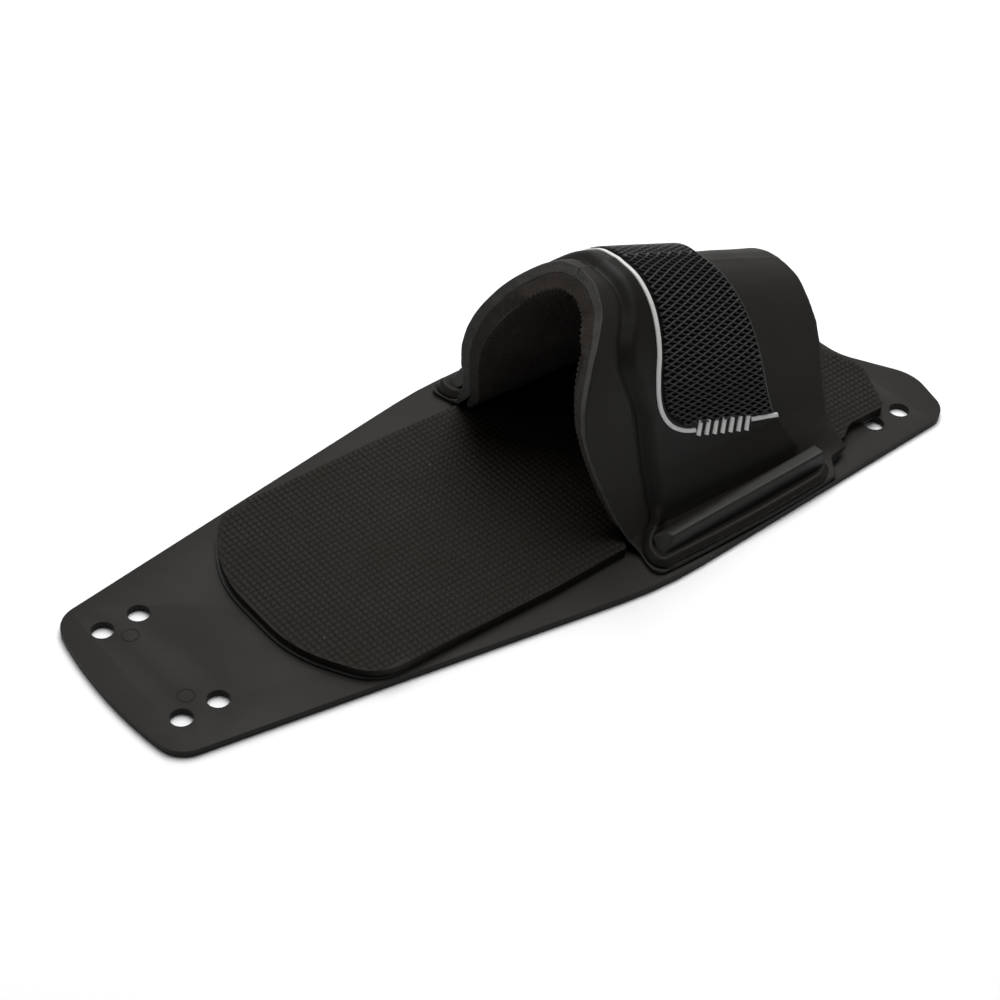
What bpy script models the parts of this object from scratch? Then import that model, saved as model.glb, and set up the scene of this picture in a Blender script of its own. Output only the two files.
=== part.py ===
"""Rear toe plate binding for a water ski: moulded plate, foot pad and clamped toe loop.

Metres, +Z up, +Y towards the toes. The origin is on the plate's underside, at the middle of
its length and width. Sizes below are in millimetres and are scaled once, when a mesh is made.
"""
import math
import bisect
import bpy
import bmesh
from mathutils import Vector

MM = 0.001
GAP = 0.3                        # clearance left between pieces that touch

# ---- mounting plate -------------------------------------------------------------------
PLATE_LENGTH = 310.2
PLATE_THICK = 2.5
PLATE_REAR_ARC = 167.0           # radius of the shallow rear edge
PLATE_RIM_ROUND = 0.8
PLATE_CORNERS = [                # right half, rear to front: x, y, corner radius
    (34.4, -151.4, 10.0),
    (62.2, 11.9, 150.0),
    (55.0, 150.3, 8.0),
    (33.2, 156.9, 16.0),
    (9.3, 143.0, 22.0),
]
PLATE_NOTCH_Y = 142.6            # bottom of the shallow notch in the front edge

# ---- mounting holes, on the usual half-inch water-ski pattern ---------------------------
HOLE_DIA = 7.14
HOLE_PITCH = 12.7
REAR_HOLE_X = 22.225
REAR_HOLE_Y = -141.9
FRONT_HOLE_X = 44.45
FRONT_HOLE_Y = 124.8

# ---- foot pad and its backing film ------------------------------------------------------
BACKING_THICK = 0.6
BACKING_LIP = 1.0
PAD_THICK = 2.8
PAD_ROUND = 0.5
PAD_BOTTOM = PLATE_THICK + GAP + BACKING_THICK + GAP
PAD_TOP = PAD_BOTTOM + PAD_THICK
PAD_SHIFT = 1.2                  # the pad is glued a little to the right of the middle
PAD_REAR = -102.0
PAD_FRONT = 136.6
PAD_CORNERS = [                  # right half, rear to front
    (19.7, -102.0, 45.0),
    (44.0, -87.7, 16.0),
    (45.2, -21.0, 8.0),
    (44.2, 9.6, 1.0),
    (38.6, 12.8, 2.0),
    (41.2, 99.5, 3.0),
    (46.0, 106.6, 3.5),
    (41.2, 113.6, 9.0),
    (41.4, 131.0, 4.0),
    (21.0, 141.3, 12.0),
    (4.0, 136.6, 10.0),
]

# ---- toe loop ---------------------------------------------------------------------------
# Outer face of the loop's outer liner, right half, from the flange's edge up to the crown.
# Heights are above the plate's top face. Both edges are smooth curves through these points.
MOUTH_EDGE = [
    (59.2, 10.4, 1.8),
    (52.5, 11.9, 1.8),
    (47.8, 12.9, 2.3),
    (44.0, 11.5, 4.8),
    (40.4, 9.4, 10.5),
    (38.2, 7.6, 16.0),
    (35.4, 4.8, 25.0),
    (32.7, 1.9, 35.0),
    (30.2, 0.6, 44.5),
    (27.3, 2.8, 55.0),
    (22.9, 8.7, 65.0),
    (15.7, 17.1, 74.0),
    (8.2, 20.4, 79.2),
    (0.0, 21.2, 81.0),
]
FRONT_EDGE = [
    (57.0, 104.2, 1.8),
    (52.6, 104.4, 2.2),
    (48.9, 104.1, 4.4),
    (45.5, 104.3, 6.6),
    (40.4, 104.9, 9.4),
    (36.2, 106.0, 14.6),
    (32.3, 107.5, 21.9),
    (27.6, 109.2, 30.7),
    (23.5, 110.3, 36.4),
    (18.1, 111.4, 41.8),
    (11.6, 112.4, 46.2),
    (5.6, 112.8, 48.2),
    (0.0, 112.9, 48.8),
]
LOOP_POINTS = 40                 # points along each half profile
FLANGE_POINTS = 9
BEND_INDEX = 3                   # the edge point where the flange turns up into the wall
FLANGE_FLAT_TO = 0.86            # share of the loop's length where the flange lies flat
PIN_FADE = 5                     # profile points over which the wall leaves the flat flange
LOOP_STATIONS = (0.0, 0.1, 0.22, 0.34, 0.46, 0.58, 0.7, 0.8, 0.86, 0.895, 0.93, 0.965, 1.0)
LOOP_RUN = 95.0                  # rough distance in y from the mouth edge to the front edge
FLANGE_BULGE = 1.6               # the flange follows the plate's curved side
SHOULDER_BULGE = 1.2             # the roof swells just ahead of the mouth
SHOULDER_LOW = 25.0              # the swelling starts at this height and is full at the next
SHOULDER_FULL = 55.0
SHOULDER_HALF_WIDTH = 20.0
FLANGE_TURN_START = 0.74         # share of the half girth where the wall starts to thin
FLANGE_TURN_RUN = 0.12

MOUTH_SLANT = 0.15               # the mouth's cut edges lean back by this share of depth
WALL_SLANT = -0.28               # and lean the other way low on the walls
FRONT_FLANGE_CUT = 0.085         # share of the half girth missing from the flanges in front
FLANGE_CORNER = 5.0              # rounded rear corners of the liner's flanges
FLANGE_CORNER_SHARE = 0.042      # the same, as a share of the half girth
LEFT_FLANGE_SHIFT = 1.7          # the left flange reaches this much further back
OUTER_LINER_THICK = 3.5
FLANGE_THICK = 1.5
INNER_LINER_THICK = 5.2
INNER_WALL_THINNING = 1.5        # the inner liner is squeezed thinner on the walls
INNER_REACH_MOUTH = 0.80         # the inner liner ends on the pad, short of the flange
INNER_REACH_FRONT = 0.73
OVERLAY_THICK = 1.9
OVERLAY_FLANGE_THICK = 1.2
PANEL_THICK = 0.8
STRIP_THICK = 0.5
STRIP_WIDTH = 1.7

# Overlay edges: fraction of the half girth from crown (0) to flange edge (1), then y.
OVERLAY_REAR = [
    (0.00, 27.6), (0.08, 28.1), (0.15, 26.6), (0.21, 23.3), (0.27, 19.7), (0.33, 18.6),
    (0.40, 20.8), (0.47, 22.9), (0.55, 23.2), (0.66, 23.6), (0.76, 23.4), (0.83, 21.5),
    (0.87, 17.0), (0.91, 13.9), (0.95, 12.9), (0.98, 13.8), (1.00, 16.5),
]
OVERLAY_FRONT = [
    (0.00, 72.7), (0.12, 75.0), (0.24, 77.0), (0.45, 78.3), (0.58, 79.6), (0.68, 82.2),
    (0.80, 86.4), (0.86, 89.0), (0.91, 92.2), (0.95, 92.4), (0.98, 89.0), (1.00, 84.0),
]
OVERLAY_REACH = 0.992            # the overlay stops just inside the liner's flange edge

# Pale strip: distance from the crown along the loop's girth, then y, from its front end.
STRIP_PATH = [
    (57.0, 81.5), (58.0, 62.0), (59.4, 45.0), (58.8, 38.8), (56.4, 34.2), (52.0, 31.2),
    (46.4, 30.2), (40.0, 31.0), (33.0, 33.2), (26.0, 34.9), (18.0, 36.3), (9.0, 36.8),
    (0.0, 36.2),
]
PANEL_REAR = [
    (0.0, 38.0), (9.0, 38.6), (18.0, 38.1), (26.0, 36.7), (33.0, 35.0), (40.0, 32.9),
    (46.0, 32.2), (50.6, 33.2), (53.8, 35.4), (56.4, 39.6),
]
PANEL_FRONT_INSET = 1.2
PANEL_GIRTH = 92.0               # half girth of the loop at the panel's front edge
PANEL_TAPER = 0.03

# ---- clamp rails and their fasteners ----------------------------------------------------
RAIL_BOTTOM = PLATE_THICK + GAP + FLANGE_THICK + GAP + OVERLAY_FLANGE_THICK + GAP
RAIL_REAR = 17.6
RAIL_FRONT = 91.4
RAIL_CHAMFER = 4.2               # run of the sloping rear end
RAIL_HEIGHT = 5.2
RAIL_OUTER_REAR = 55.0
RAIL_OUTER_FRONT = 53.2
RAIL_TOP_DRAFT = 1.0
RAIL_INNER_REAR = 47.9           # at the bottom; the inner side leans more at the rear
RAIL_INNER_FRONT = 46.2
RAIL_INNER_LEAN_REAR = 3.0
RAIL_INNER_LEAN_FRONT = 1.0
RAIL_TOP_TILT = 0.3              # the top falls this much towards the loop
LEFT_RAIL_SHIFT = -2.4           # the left rail sits a little further back
RAIL_FOOT_REAR = 50.0            # the foot is cut away over the turn of the flange
RAIL_FOOT_FRONT = 50.4
RAIL_FOOT_TALL = 2.7
RAIL_ROUND = 0.6
SCREWS_PER_RAIL = 4
SCREW_FIRST_Y = 28.0
SCREW_PITCH = 18.0
SCREW_FIRST_X = 52.0
SCREW_LAST_X = 50.9
SCREW_R = 1.1
SCREW_HEAD_R = 2.3
SCREW_HEAD_TALL = 1.2
SCREW_RECESS = 0.2               # the heads sit this far inside the plate's underside
HEAD_CLEARANCE = 0.5
CLEARANCE_R = 1.5
SCREW_GRIP = 3.4                 # length of thread inside the rail
SCREW_TOP = RAIL_BOTTOM + SCREW_GRIP
TURN_STEPS = 20

# name: base colour, roughness, metallic
MATERIALS = {
    "plate_nylon": ((0.020, 0.020, 0.021), 0.55, 0.0),
    "pad_foam": ((0.019, 0.015, 0.013), 0.85, 0.0),
    "backing_film": ((0.012, 0.011, 0.011), 0.60, 0.0),
    "inner_foam": ((0.030, 0.025, 0.022), 0.90, 0.0),
    "outer_neoprene": ((0.024, 0.023, 0.023), 0.70, 0.0),
    "overlay_rubber": ((0.016, 0.015, 0.015), 0.55, 0.0),
    "grip_rubber": ((0.010, 0.010, 0.010), 0.50, 0.0),
    "accent_ink": ((0.62, 0.62, 0.61), 0.45, 0.0),
    "rail_nylon": ((0.022, 0.022, 0.023), 0.38, 0.0),
    "screw_steel": ((0.55, 0.55, 0.56), 0.30, 1.0),
}


# ---- scene helpers ----------------------------------------------------------------------
def clear_scene():
    for obj in list(bpy.data.objects):
        bpy.data.objects.remove(obj, do_unlink=True)


def make_collection(name):
    collection = bpy.data.collections.new(name)
    bpy.context.scene.collection.children.link(collection)
    return collection


def material(name):
    found = bpy.data.materials.get(name)
    if found:
        return found
    colour, roughness, metallic = MATERIALS[name]
    made = bpy.data.materials.new(name)
    made.use_nodes = True
    shader = made.node_tree.nodes["Principled BSDF"]
    shader.inputs["Base Color"].default_value = (*colour, 1.0)
    shader.inputs["Roughness"].default_value = roughness
    shader.inputs["Metallic"].default_value = metallic
    made.diffuse_color = (*colour, 1.0)
    return made


def finish_object(obj, material_name, collection, sharp_deg=35.0):
    collection.objects.link(obj)
    obj.data.materials.clear()
    obj.data.materials.append(material(material_name))
    obj.data.shade_smooth()
    obj.data.set_sharp_from_angle(angle=math.radians(sharp_deg))
    return obj


def mesh_object(name, points, faces):
    mesh = bpy.data.meshes.new(name)
    mesh.from_pydata([Vector(p) * MM for p in points], [], faces)
    mesh.update()
    return bpy.data.objects.new(name, mesh)


# ---- flat outlines ----------------------------------------------------------------------
def corner_arc(before, corner, after, radius, step_deg=9.0):
    """Points of the arc that rounds one corner of an outline."""
    centre = Vector(corner)
    back = (Vector(before) - centre).normalized()
    ahead = (Vector(after) - centre).normalized()
    half = 0.5 * back.angle(ahead)
    reach = radius / math.tan(half)
    hub = centre + (back + ahead).normalized() * (radius / math.sin(half))
    start = centre + back * reach - hub
    turn = start.angle_signed(centre + ahead * reach - hub)
    steps = max(2, math.ceil(abs(math.degrees(turn)) / step_deg))
    points = []
    for i in range(steps + 1):
        angle = -turn * i / steps
        c = math.cos(angle)
        s = math.sin(angle)
        points.append((hub.x + start.x * c - start.y * s, hub.y + start.x * s + start.y * c))
    return points


def rounded_half(start, corners, end):
    """Half an outline: start and end lie on the centre line, each corner has a radius."""
    nodes = [start] + [(x, y) for x, y, _ in corners] + [end]
    points = [start]
    for i, (x, y, radius) in enumerate(corners):
        points += corner_arc(nodes[i], (x, y), nodes[i + 2], radius)
    points.append(end)
    return points


def both_sides(half):
    return half + [(-x, y) for x, y in reversed(half) if x > 0.001]


def circle(x, y, radius, steps=28):
    turns = [2 * math.pi * i / steps for i in range(steps)]
    return [(x + radius * math.cos(a), y + radius * math.sin(a)) for a in turns]


def flat_object(name, outlines, bottom, thickness, top_round=0.0):
    """A flat piece: a filled 2D curve with thickness, made a mesh, with a rounded top rim."""
    curve = bpy.data.curves.new(name, "CURVE")
    curve.dimensions = "2D"
    curve.fill_mode = "BOTH"
    curve.extrude = 0.5 * thickness * MM
    for outline in outlines:
        spline = curve.splines.new("POLY")
        spline.points.add(len(outline) - 1)
        for point, (x, y) in zip(spline.points, outline):
            point.co = (x * MM, y * MM, 0.0, 1.0)
        spline.use_cyclic_u = True
    flat = bpy.data.objects.new(name + "_outline", curve)
    bpy.context.scene.collection.objects.link(flat)
    evaluated = flat.evaluated_get(bpy.context.evaluated_depsgraph_get())
    mesh = bpy.data.meshes.new_from_object(evaluated)
    bpy.data.objects.remove(flat, do_unlink=True)
    bpy.data.curves.remove(curve)
    mesh.name = name
    bm = bmesh.new()
    bm.from_mesh(mesh)
    bmesh.ops.remove_doubles(bm, verts=bm.verts, dist=0.001 * MM)
    bmesh.ops.recalc_face_normals(bm, faces=bm.faces)
    bmesh.ops.translate(bm, verts=bm.verts, vec=(0.0, 0.0, (bottom + 0.5 * thickness) * MM))
    if top_round > 0.0:
        level = (bottom + thickness) * MM - 1e-6
        rim = []
        for edge in bm.edges:
            high = all(v.co.z > level for v in edge.verts)
            if high and edge.calc_face_angle(0.0) > math.radians(60):
                rim.append(edge)
        bmesh.ops.bevel(bm, geom=rim, offset=top_round * MM, segments=2, profile=0.5,
                        affect="EDGES", clamp_overlap=True)
    bm.to_mesh(mesh)
    bm.free()
    return bpy.data.objects.new(name, mesh)


# ---- toe loop surface -------------------------------------------------------------------
def smooth_value(table, x):
    """Catmull-Rom value of a table of (x, value) pairs, held level past its ends."""
    xs = [row[0] for row in table]
    if x <= xs[0]:
        return table[0][1]
    if x >= xs[-1]:
        return table[-1][1]
    i = bisect.bisect_right(xs, x) - 1
    x0, y0 = table[i]
    x1, y1 = table[i + 1]
    slope = (y1 - y0) / (x1 - x0)
    before = slope
    after = slope
    if i > 0:
        before = (y1 - table[i - 1][1]) / (x1 - table[i - 1][0])
    if i + 2 < len(table):
        after = (table[i + 2][1] - y0) / (table[i + 2][0] - x0)
    u = (x - x0) / (x1 - x0)
    span = x1 - x0
    a = (1 + 2 * u) * (1 - u) ** 2 * y0 + u * (1 - u) ** 2 * span * before
    b = u * u * (3 - 2 * u) * y1 + u * u * (u - 1) * span * after
    return a + b


def smooth_path(points, count):
    """Evenly spaced points on a smooth curve through the given ones."""
    runs = [0.0]
    for p, q in zip(points, points[1:]):
        runs.append(runs[-1] + (Vector(q) - Vector(p)).length)
    tables = [[(run, p[axis]) for run, p in zip(runs, points)] for axis in range(3)]
    return [Vector([smooth_value(table, runs[-1] * i / (count - 1)) for table in tables])
            for i in range(count)]


def edge_profile(points):
    flange = smooth_path(points[:BEND_INDEX + 1], FLANGE_POINTS)
    wall = smooth_path(points[BEND_INDEX:], LOOP_POINTS - FLANGE_POINTS + 1)
    return flange + wall[1:]


MOUTH_PROFILE = edge_profile(MOUTH_EDGE)
FRONT_PROFILE = edge_profile(FRONT_EDGE)


def flange_rise(t):
    """The rails hold the flange flat; ahead of them it lifts to the shape of the front edge."""
    return max(0.0, (t - FLANGE_FLAT_TO) / (1.0 - FLANGE_FLAT_TO)) ** 1.5


def half_profile(t):
    """The loop's half section, flange edge to crown; t is 0 at the mouth and 1 at the front."""
    middle = 4.0 * t * (1.0 - t)
    past_mouth = math.sin(math.pi * min(1.0, max(0.0, t) ** 0.5))
    points = []
    for i, (mouth, front) in enumerate(zip(MOUTH_PROFILE, FRONT_PROFILE)):
        point = mouth.lerp(front, t)
        pinned = min(1.0, max(0.0, (FLANGE_POINTS + PIN_FADE - i) / PIN_FADE))
        point.z += pinned * (flange_rise(t) - t) * (front.z - mouth.z) + PLATE_THICK
        outward = max(0.0, 1.0 - i / (FLANGE_POINTS - 1))
        point.x += FLANGE_BULGE * middle * outward
        height = (mouth.z - SHOULDER_LOW) / (SHOULDER_FULL - SHOULDER_LOW)
        swell = SHOULDER_BULGE * past_mouth * min(1.0, max(0.0, height))
        point.x += swell * min(1.0, mouth.x / SHOULDER_HALF_WIDTH)
        point.z += 0.5 * swell
        points.append(point)
    return points


def loop_point(t, along):
    """Point of the loop's face; along(total) gives the signed distance from the crown."""
    profile = half_profile(t)[::-1]
    runs = [0.0]
    for p, q in zip(profile, profile[1:]):
        runs.append(runs[-1] + (q - p).length)
    signed = along(runs[-1])
    distance = min(abs(signed), runs[-1])
    i = min(bisect.bisect_right(runs, distance) - 1, len(profile) - 2)
    point = profile[i].lerp(profile[i + 1], (distance - runs[i]) / (runs[i + 1] - runs[i]))
    if signed < 0.0:
        point.x = -point.x
    return point


def loop_at_y(along, y):
    """The same, at a given y instead of a given t."""
    t = 0.5
    for _ in range(8):
        point = loop_point(t, along)
        t += (y - point.y) / LOOP_RUN
    return point


def lifted(place, u, v, lift, du, dv):
    """place(u, v) moved along the face's outward normal."""
    point = place(u, v)
    across = place(u + du, v) - place(u - du, v)
    forward = place(u, v + dv) - place(u, v - dv)
    return point + across.cross(forward).normalized() * lift


def grid(place, us, vs, lift, du=0.004, dv=0.01):
    """Rows of points over a patch of the loop, lifted off its face; lift may vary with u."""
    height = lift if callable(lift) else (lambda u: lift)
    return [[lifted(place, u, v, height(u), du, dv) for u in us] for v in vs]


def shell_object(name, upper, lower):
    """Closed solid between two grids of points of the same size."""
    rows = len(upper)
    columns = len(upper[0])
    points = [p for row in upper for p in row] + [p for row in lower for p in row]
    below = rows * columns

    def index(r, c, side):
        return side * below + r * columns + c

    faces = []
    for r in range(rows - 1):
        for c in range(columns - 1):
            ring = [(r, c), (r, c + 1), (r + 1, c + 1), (r + 1, c)]
            faces.append([index(a, b, 0) for a, b in ring])
            faces.append([index(a, b, 1) for a, b in reversed(ring)])
    border = [(0, c) for c in range(columns)] + [(r, columns - 1) for r in range(1, rows)]
    border += [(rows - 1, c) for c in range(columns - 2, -1, -1)]
    border += [(r, 0) for r in range(rows - 2, 0, -1)]
    for k, (a, b) in enumerate(border):
        c, d = border[(k + 1) % len(border)]
        faces.append([index(c, d, 0), index(a, b, 0), index(a, b, 1), index(c, d, 1)])
    obj = mesh_object(name, points, faces)
    bm = bmesh.new()
    bm.from_mesh(obj.data)
    bmesh.ops.recalc_face_normals(bm, faces=bm.faces)
    bm.to_mesh(obj.data)
    bm.free()
    return obj


def spread(low, high, count):
    return [low + (high - low) * i / (count - 1) for i in range(count)]


def girth_stations(reach):
    """Places across the loop from one flange edge to the other, closer together on the flanges."""
    roof = spread(0.0, FLANGE_TURN_START, 19)
    half = roof + spread(FLANGE_TURN_START, reach, 12)[1:]
    return [-u for u in reversed(half[1:])] + half


def smooth_step(x, low, high):
    x = min(1.0, max(0.0, (x - low) / (high - low)))
    return x * x * (3 - 2 * x)


def flange_blend(u):
    """0 on the wall and roof, 1 on the flange."""
    return smooth_step(abs(u), FLANGE_TURN_START, FLANGE_TURN_START + FLANGE_TURN_RUN)


def left_shift(u):
    """How much further back a rear edge lies at this share of the girth."""
    return LEFT_FLANGE_SHIFT * flange_blend(u) if u < 0.0 else 0.0


def layer_face(depth, reach_mouth=1.0, reach_front=1.0):
    """The loop's face as far as a foam layer covers it, when the layer lies at this depth."""
    def spot(u, v):
        reach = reach_mouth + (reach_front - reach_mouth) * v
        if reach == 1.0:
            reach -= FRONT_FLANGE_CUT * smooth_step(v, 0.86, 0.93)
        inset = min(1.0, max(0.0, 1.0 - (1.0 - abs(u) * reach_mouth) / FLANGE_CORNER_SHARE))
        corner = FLANGE_CORNER * (1.0 - math.sqrt(1.0 - inset * inset))
        slant = MOUTH_SLANT + (WALL_SLANT - MOUTH_SLANT) * smooth_step(abs(u * reach), 0.08, 0.55)
        start = (corner - slant * depth - left_shift(u * reach)) / LOOP_RUN
        return loop_point(start + (1.0 - start) * v, lambda total: u * reach * total)

    return spot


def overlay_place(u, v):
    across = abs(u)
    rear = smooth_value(OVERLAY_REAR, across) - left_shift(u)
    front = smooth_value(OVERLAY_FRONT, across)
    return loop_at_y(lambda total: u * total, rear + (front - rear) * v)


def panel_place(u, v):
    """u is the distance from the crown at mid length; the panel narrows a little forward."""
    across = abs(u)
    rear = smooth_value(PANEL_REAR, across)
    front = smooth_value(OVERLAY_FRONT, across / PANEL_GIRTH) - PANEL_FRONT_INSET
    reach = u * (1.0 + PANEL_TAPER * (0.5 - v))
    return loop_at_y(lambda total: reach, rear + (front - rear) * v)


def outer_liner_depth(u):
    return -(OUTER_LINER_THICK + (FLANGE_THICK - OUTER_LINER_THICK) * flange_blend(u))


def overlay_top(u):
    thick = OVERLAY_THICK + (OVERLAY_FLANGE_THICK - OVERLAY_THICK) * flange_blend(u)
    return GAP + thick


# ---- pieces -----------------------------------------------------------------------------
def base_plate():
    rear = -0.5 * PLATE_LENGTH
    half = [(0.0, rear)]
    for x in (8.0, 16.0, 24.0):
        half.append((x, rear + PLATE_REAR_ARC - math.sqrt(PLATE_REAR_ARC ** 2 - x * x)))
    start = half[-1]
    half += rounded_half(start, PLATE_CORNERS, (0.0, PLATE_NOTCH_Y))[1:]
    outlines = [both_sides(half)]
    for side in (-1, 1):
        for row in range(2):
            step = row * HOLE_PITCH
            outlines.append(circle(side * REAR_HOLE_X, REAR_HOLE_Y + step, HOLE_DIA / 2))
            outlines.append(circle(side * FRONT_HOLE_X, FRONT_HOLE_Y + step, HOLE_DIA / 2))
    return flat_object("base_plate", outlines, 0.0, PLATE_THICK, PLATE_RIM_ROUND)


def pad_outline(grow=0.0):
    corners = [(x, y - grow, r) for x, y, r in PAD_CORNERS[:2]] + PAD_CORNERS[2:]
    outline = both_sides(rounded_half((0.0, PAD_REAR - grow), corners, (0.0, PAD_FRONT)))
    return [(x + PAD_SHIFT, y) for x, y in outline]


def outer_liner():
    us = girth_stations(1.0)
    return shell_object("liner_outer", grid(layer_face(0.0), us, LOOP_STATIONS, 0.0),
                        grid(layer_face(OUTER_LINER_THICK), us, LOOP_STATIONS,
                             outer_liner_depth))


def inner_liner_lift(u):
    thick = INNER_LINER_THICK - INNER_WALL_THINNING * smooth_step(abs(u), 0.4, 0.7)
    return -(OUTER_LINER_THICK + GAP + thick)


def inner_liner():
    us = spread(-1.0, 1.0, 41)
    top = OUTER_LINER_THICK + GAP
    upper = layer_face(top, INNER_REACH_MOUTH, INNER_REACH_FRONT)
    lower = layer_face(top + INNER_LINER_THICK, INNER_REACH_MOUTH, INNER_REACH_FRONT)
    return shell_object("liner_inner", grid(upper, us, LOOP_STATIONS, -top),
                        grid(lower, us, LOOP_STATIONS, inner_liner_lift))


def overlay():
    us = girth_stations(OVERLAY_REACH)
    vs = spread(0.0, 1.0, 10)
    return shell_object("overlay", grid(overlay_place, us, vs, overlay_top),
                        grid(overlay_place, us, vs, GAP))


def grip_panel():
    reach = PANEL_REAR[-1][0]
    us = spread(-reach, reach, 31)
    vs = spread(0.0, 1.0, 8)
    base = GAP + OVERLAY_THICK + GAP
    return shell_object("grip_panel", grid(panel_place, us, vs, base + PANEL_THICK, 0.3),
                        grid(panel_place, us, vs, base, 0.3))


def accent_strip():
    half = smooth_path([(a, y, 0.0) for a, y in STRIP_PATH], 27)
    path = half + [Vector((-p.x, p.y, 0.0)) for p in reversed(half[:-1])]

    def strip_place(u, v):
        i = min(max(int(v), 0), len(path) - 2)
        spot = path[i].lerp(path[i + 1], v - i)
        j = min(max(round(v), 1), len(path) - 2)
        tangent = (path[j + 1] - path[j - 1]).normalized()
        spot = spot + Vector((-tangent.y, tangent.x, 0.0)) * u
        return loop_at_y(lambda total: spot.x, spot.y)

    us = [-0.5 * STRIP_WIDTH, 0.5 * STRIP_WIDTH]
    vs = list(range(len(path)))
    base = GAP + OVERLAY_THICK + GAP
    return shell_object("accent_strip", grid(strip_place, us, vs, base + STRIP_THICK, 0.2, -0.2),
                        grid(strip_place, us, vs, base, 0.2, -0.2))


def rail(name, side):
    """Tapered bar with a sloping rear end and a foot cut away over the turn of the flange."""
    sections = []
    shift = LEFT_RAIL_SHIFT if side < 0 else 0.0
    rear = RAIL_REAR + shift
    front = RAIL_FRONT + shift
    top = RAIL_BOTTOM + RAIL_HEIGHT
    for y, top_y, outer, inner, lean, foot in (
            (rear, rear + RAIL_CHAMFER, RAIL_OUTER_REAR, RAIL_INNER_REAR, RAIL_INNER_LEAN_REAR,
             RAIL_FOOT_REAR),
            (front, front, RAIL_OUTER_FRONT, RAIL_INNER_FRONT, RAIL_INNER_LEAN_FRONT,
             RAIL_FOOT_FRONT)):
        sections.append([
            (side * outer, y, RAIL_BOTTOM),
            (side * (outer - RAIL_TOP_DRAFT), top_y, top),
            (side * (inner + lean), top_y, top - RAIL_TOP_TILT),
            (side * inner, y, RAIL_BOTTOM + RAIL_FOOT_TALL),
            (side * foot, y, RAIL_BOTTOM),
        ])
    count = len(sections[0])
    points = sections[0] + sections[1]
    faces = [list(range(count))[::-1], list(range(count, 2 * count))]
    for i in range(count):
        j = (i + 1) % count
        faces.append([i, j, j + count, i + count])
    obj = mesh_object(name, points, faces)
    bm = bmesh.new()
    bm.from_mesh(obj.data)
    bmesh.ops.recalc_face_normals(bm, faces=bm.faces)
    upper = [e for e in bm.edges if max(v.co.z for v in e.verts) > (RAIL_BOTTOM + 1.0) * MM]
    bmesh.ops.bevel(bm, geom=upper, offset=RAIL_ROUND * MM, segments=2, profile=0.5,
                    affect="EDGES", clamp_overlap=True)
    bm.to_mesh(obj.data)
    bm.free()
    return obj


def turned_object(name, profile, place):
    """A profile of (radius, height) from axis to axis, turned about a vertical axis."""
    mesh = bpy.data.meshes.new(name)
    edges = [(i, i + 1) for i in range(len(profile) - 1)]
    mesh.from_pydata([(r * MM, 0.0, z * MM) for r, z in profile], edges, [])
    obj = bpy.data.objects.new(name, mesh)
    obj.location = Vector(place) * MM
    screw = obj.modifiers.new("turn", "SCREW")
    screw.steps = TURN_STEPS
    screw.render_steps = TURN_STEPS
    screw.use_merge_vertices = True
    screw.merge_threshold = 0.00001
    return obj


def screw_places():
    for side, word in ((-1, "left"), (1, "right")):
        for i in range(SCREWS_PER_RAIL):
            x = SCREW_FIRST_X + (SCREW_LAST_X - SCREW_FIRST_X) * i / (SCREWS_PER_RAIL - 1)
            y = SCREW_FIRST_Y + i * SCREW_PITCH
            yield word, i + 1, (side * x, y)


def rail_screw(name, x, y):
    profile = [
        (0.0, SCREW_TOP),
        (SCREW_R - 0.3, SCREW_TOP),
        (SCREW_R, SCREW_TOP - 0.5),
        (SCREW_R, SCREW_RECESS + SCREW_HEAD_TALL),
        (SCREW_HEAD_R, SCREW_RECESS + 0.4),
        (SCREW_HEAD_R, SCREW_RECESS),
        (0.0, SCREW_RECESS),
    ]
    return turned_object(name, profile, (x, y, 0.0))


def cutter(name, radius, low, high, places, collection):
    """One drill for each place, joined in one cutter."""
    bm = bmesh.new()
    for x, y in places:
        made = bmesh.ops.create_cone(bm, cap_ends=True, segments=TURN_STEPS,
                                     radius1=radius * MM, radius2=radius * MM,
                                     depth=(high - low) * MM)
        centre = Vector((x, y, 0.5 * (low + high))) * MM
        bmesh.ops.translate(bm, verts=made["verts"], vec=centre)
    mesh = bpy.data.meshes.new(name)
    bm.to_mesh(mesh)
    bm.free()
    obj = bpy.data.objects.new(name, mesh)
    obj.hide_render = True
    obj.display_type = "WIRE"
    collection.objects.link(obj)
    return obj


def cut(obj, tool):
    boolean = obj.modifiers.new(tool.name, "BOOLEAN")
    boolean.operation = "DIFFERENCE"
    boolean.solver = "EXACT"
    boolean.object = tool


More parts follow.
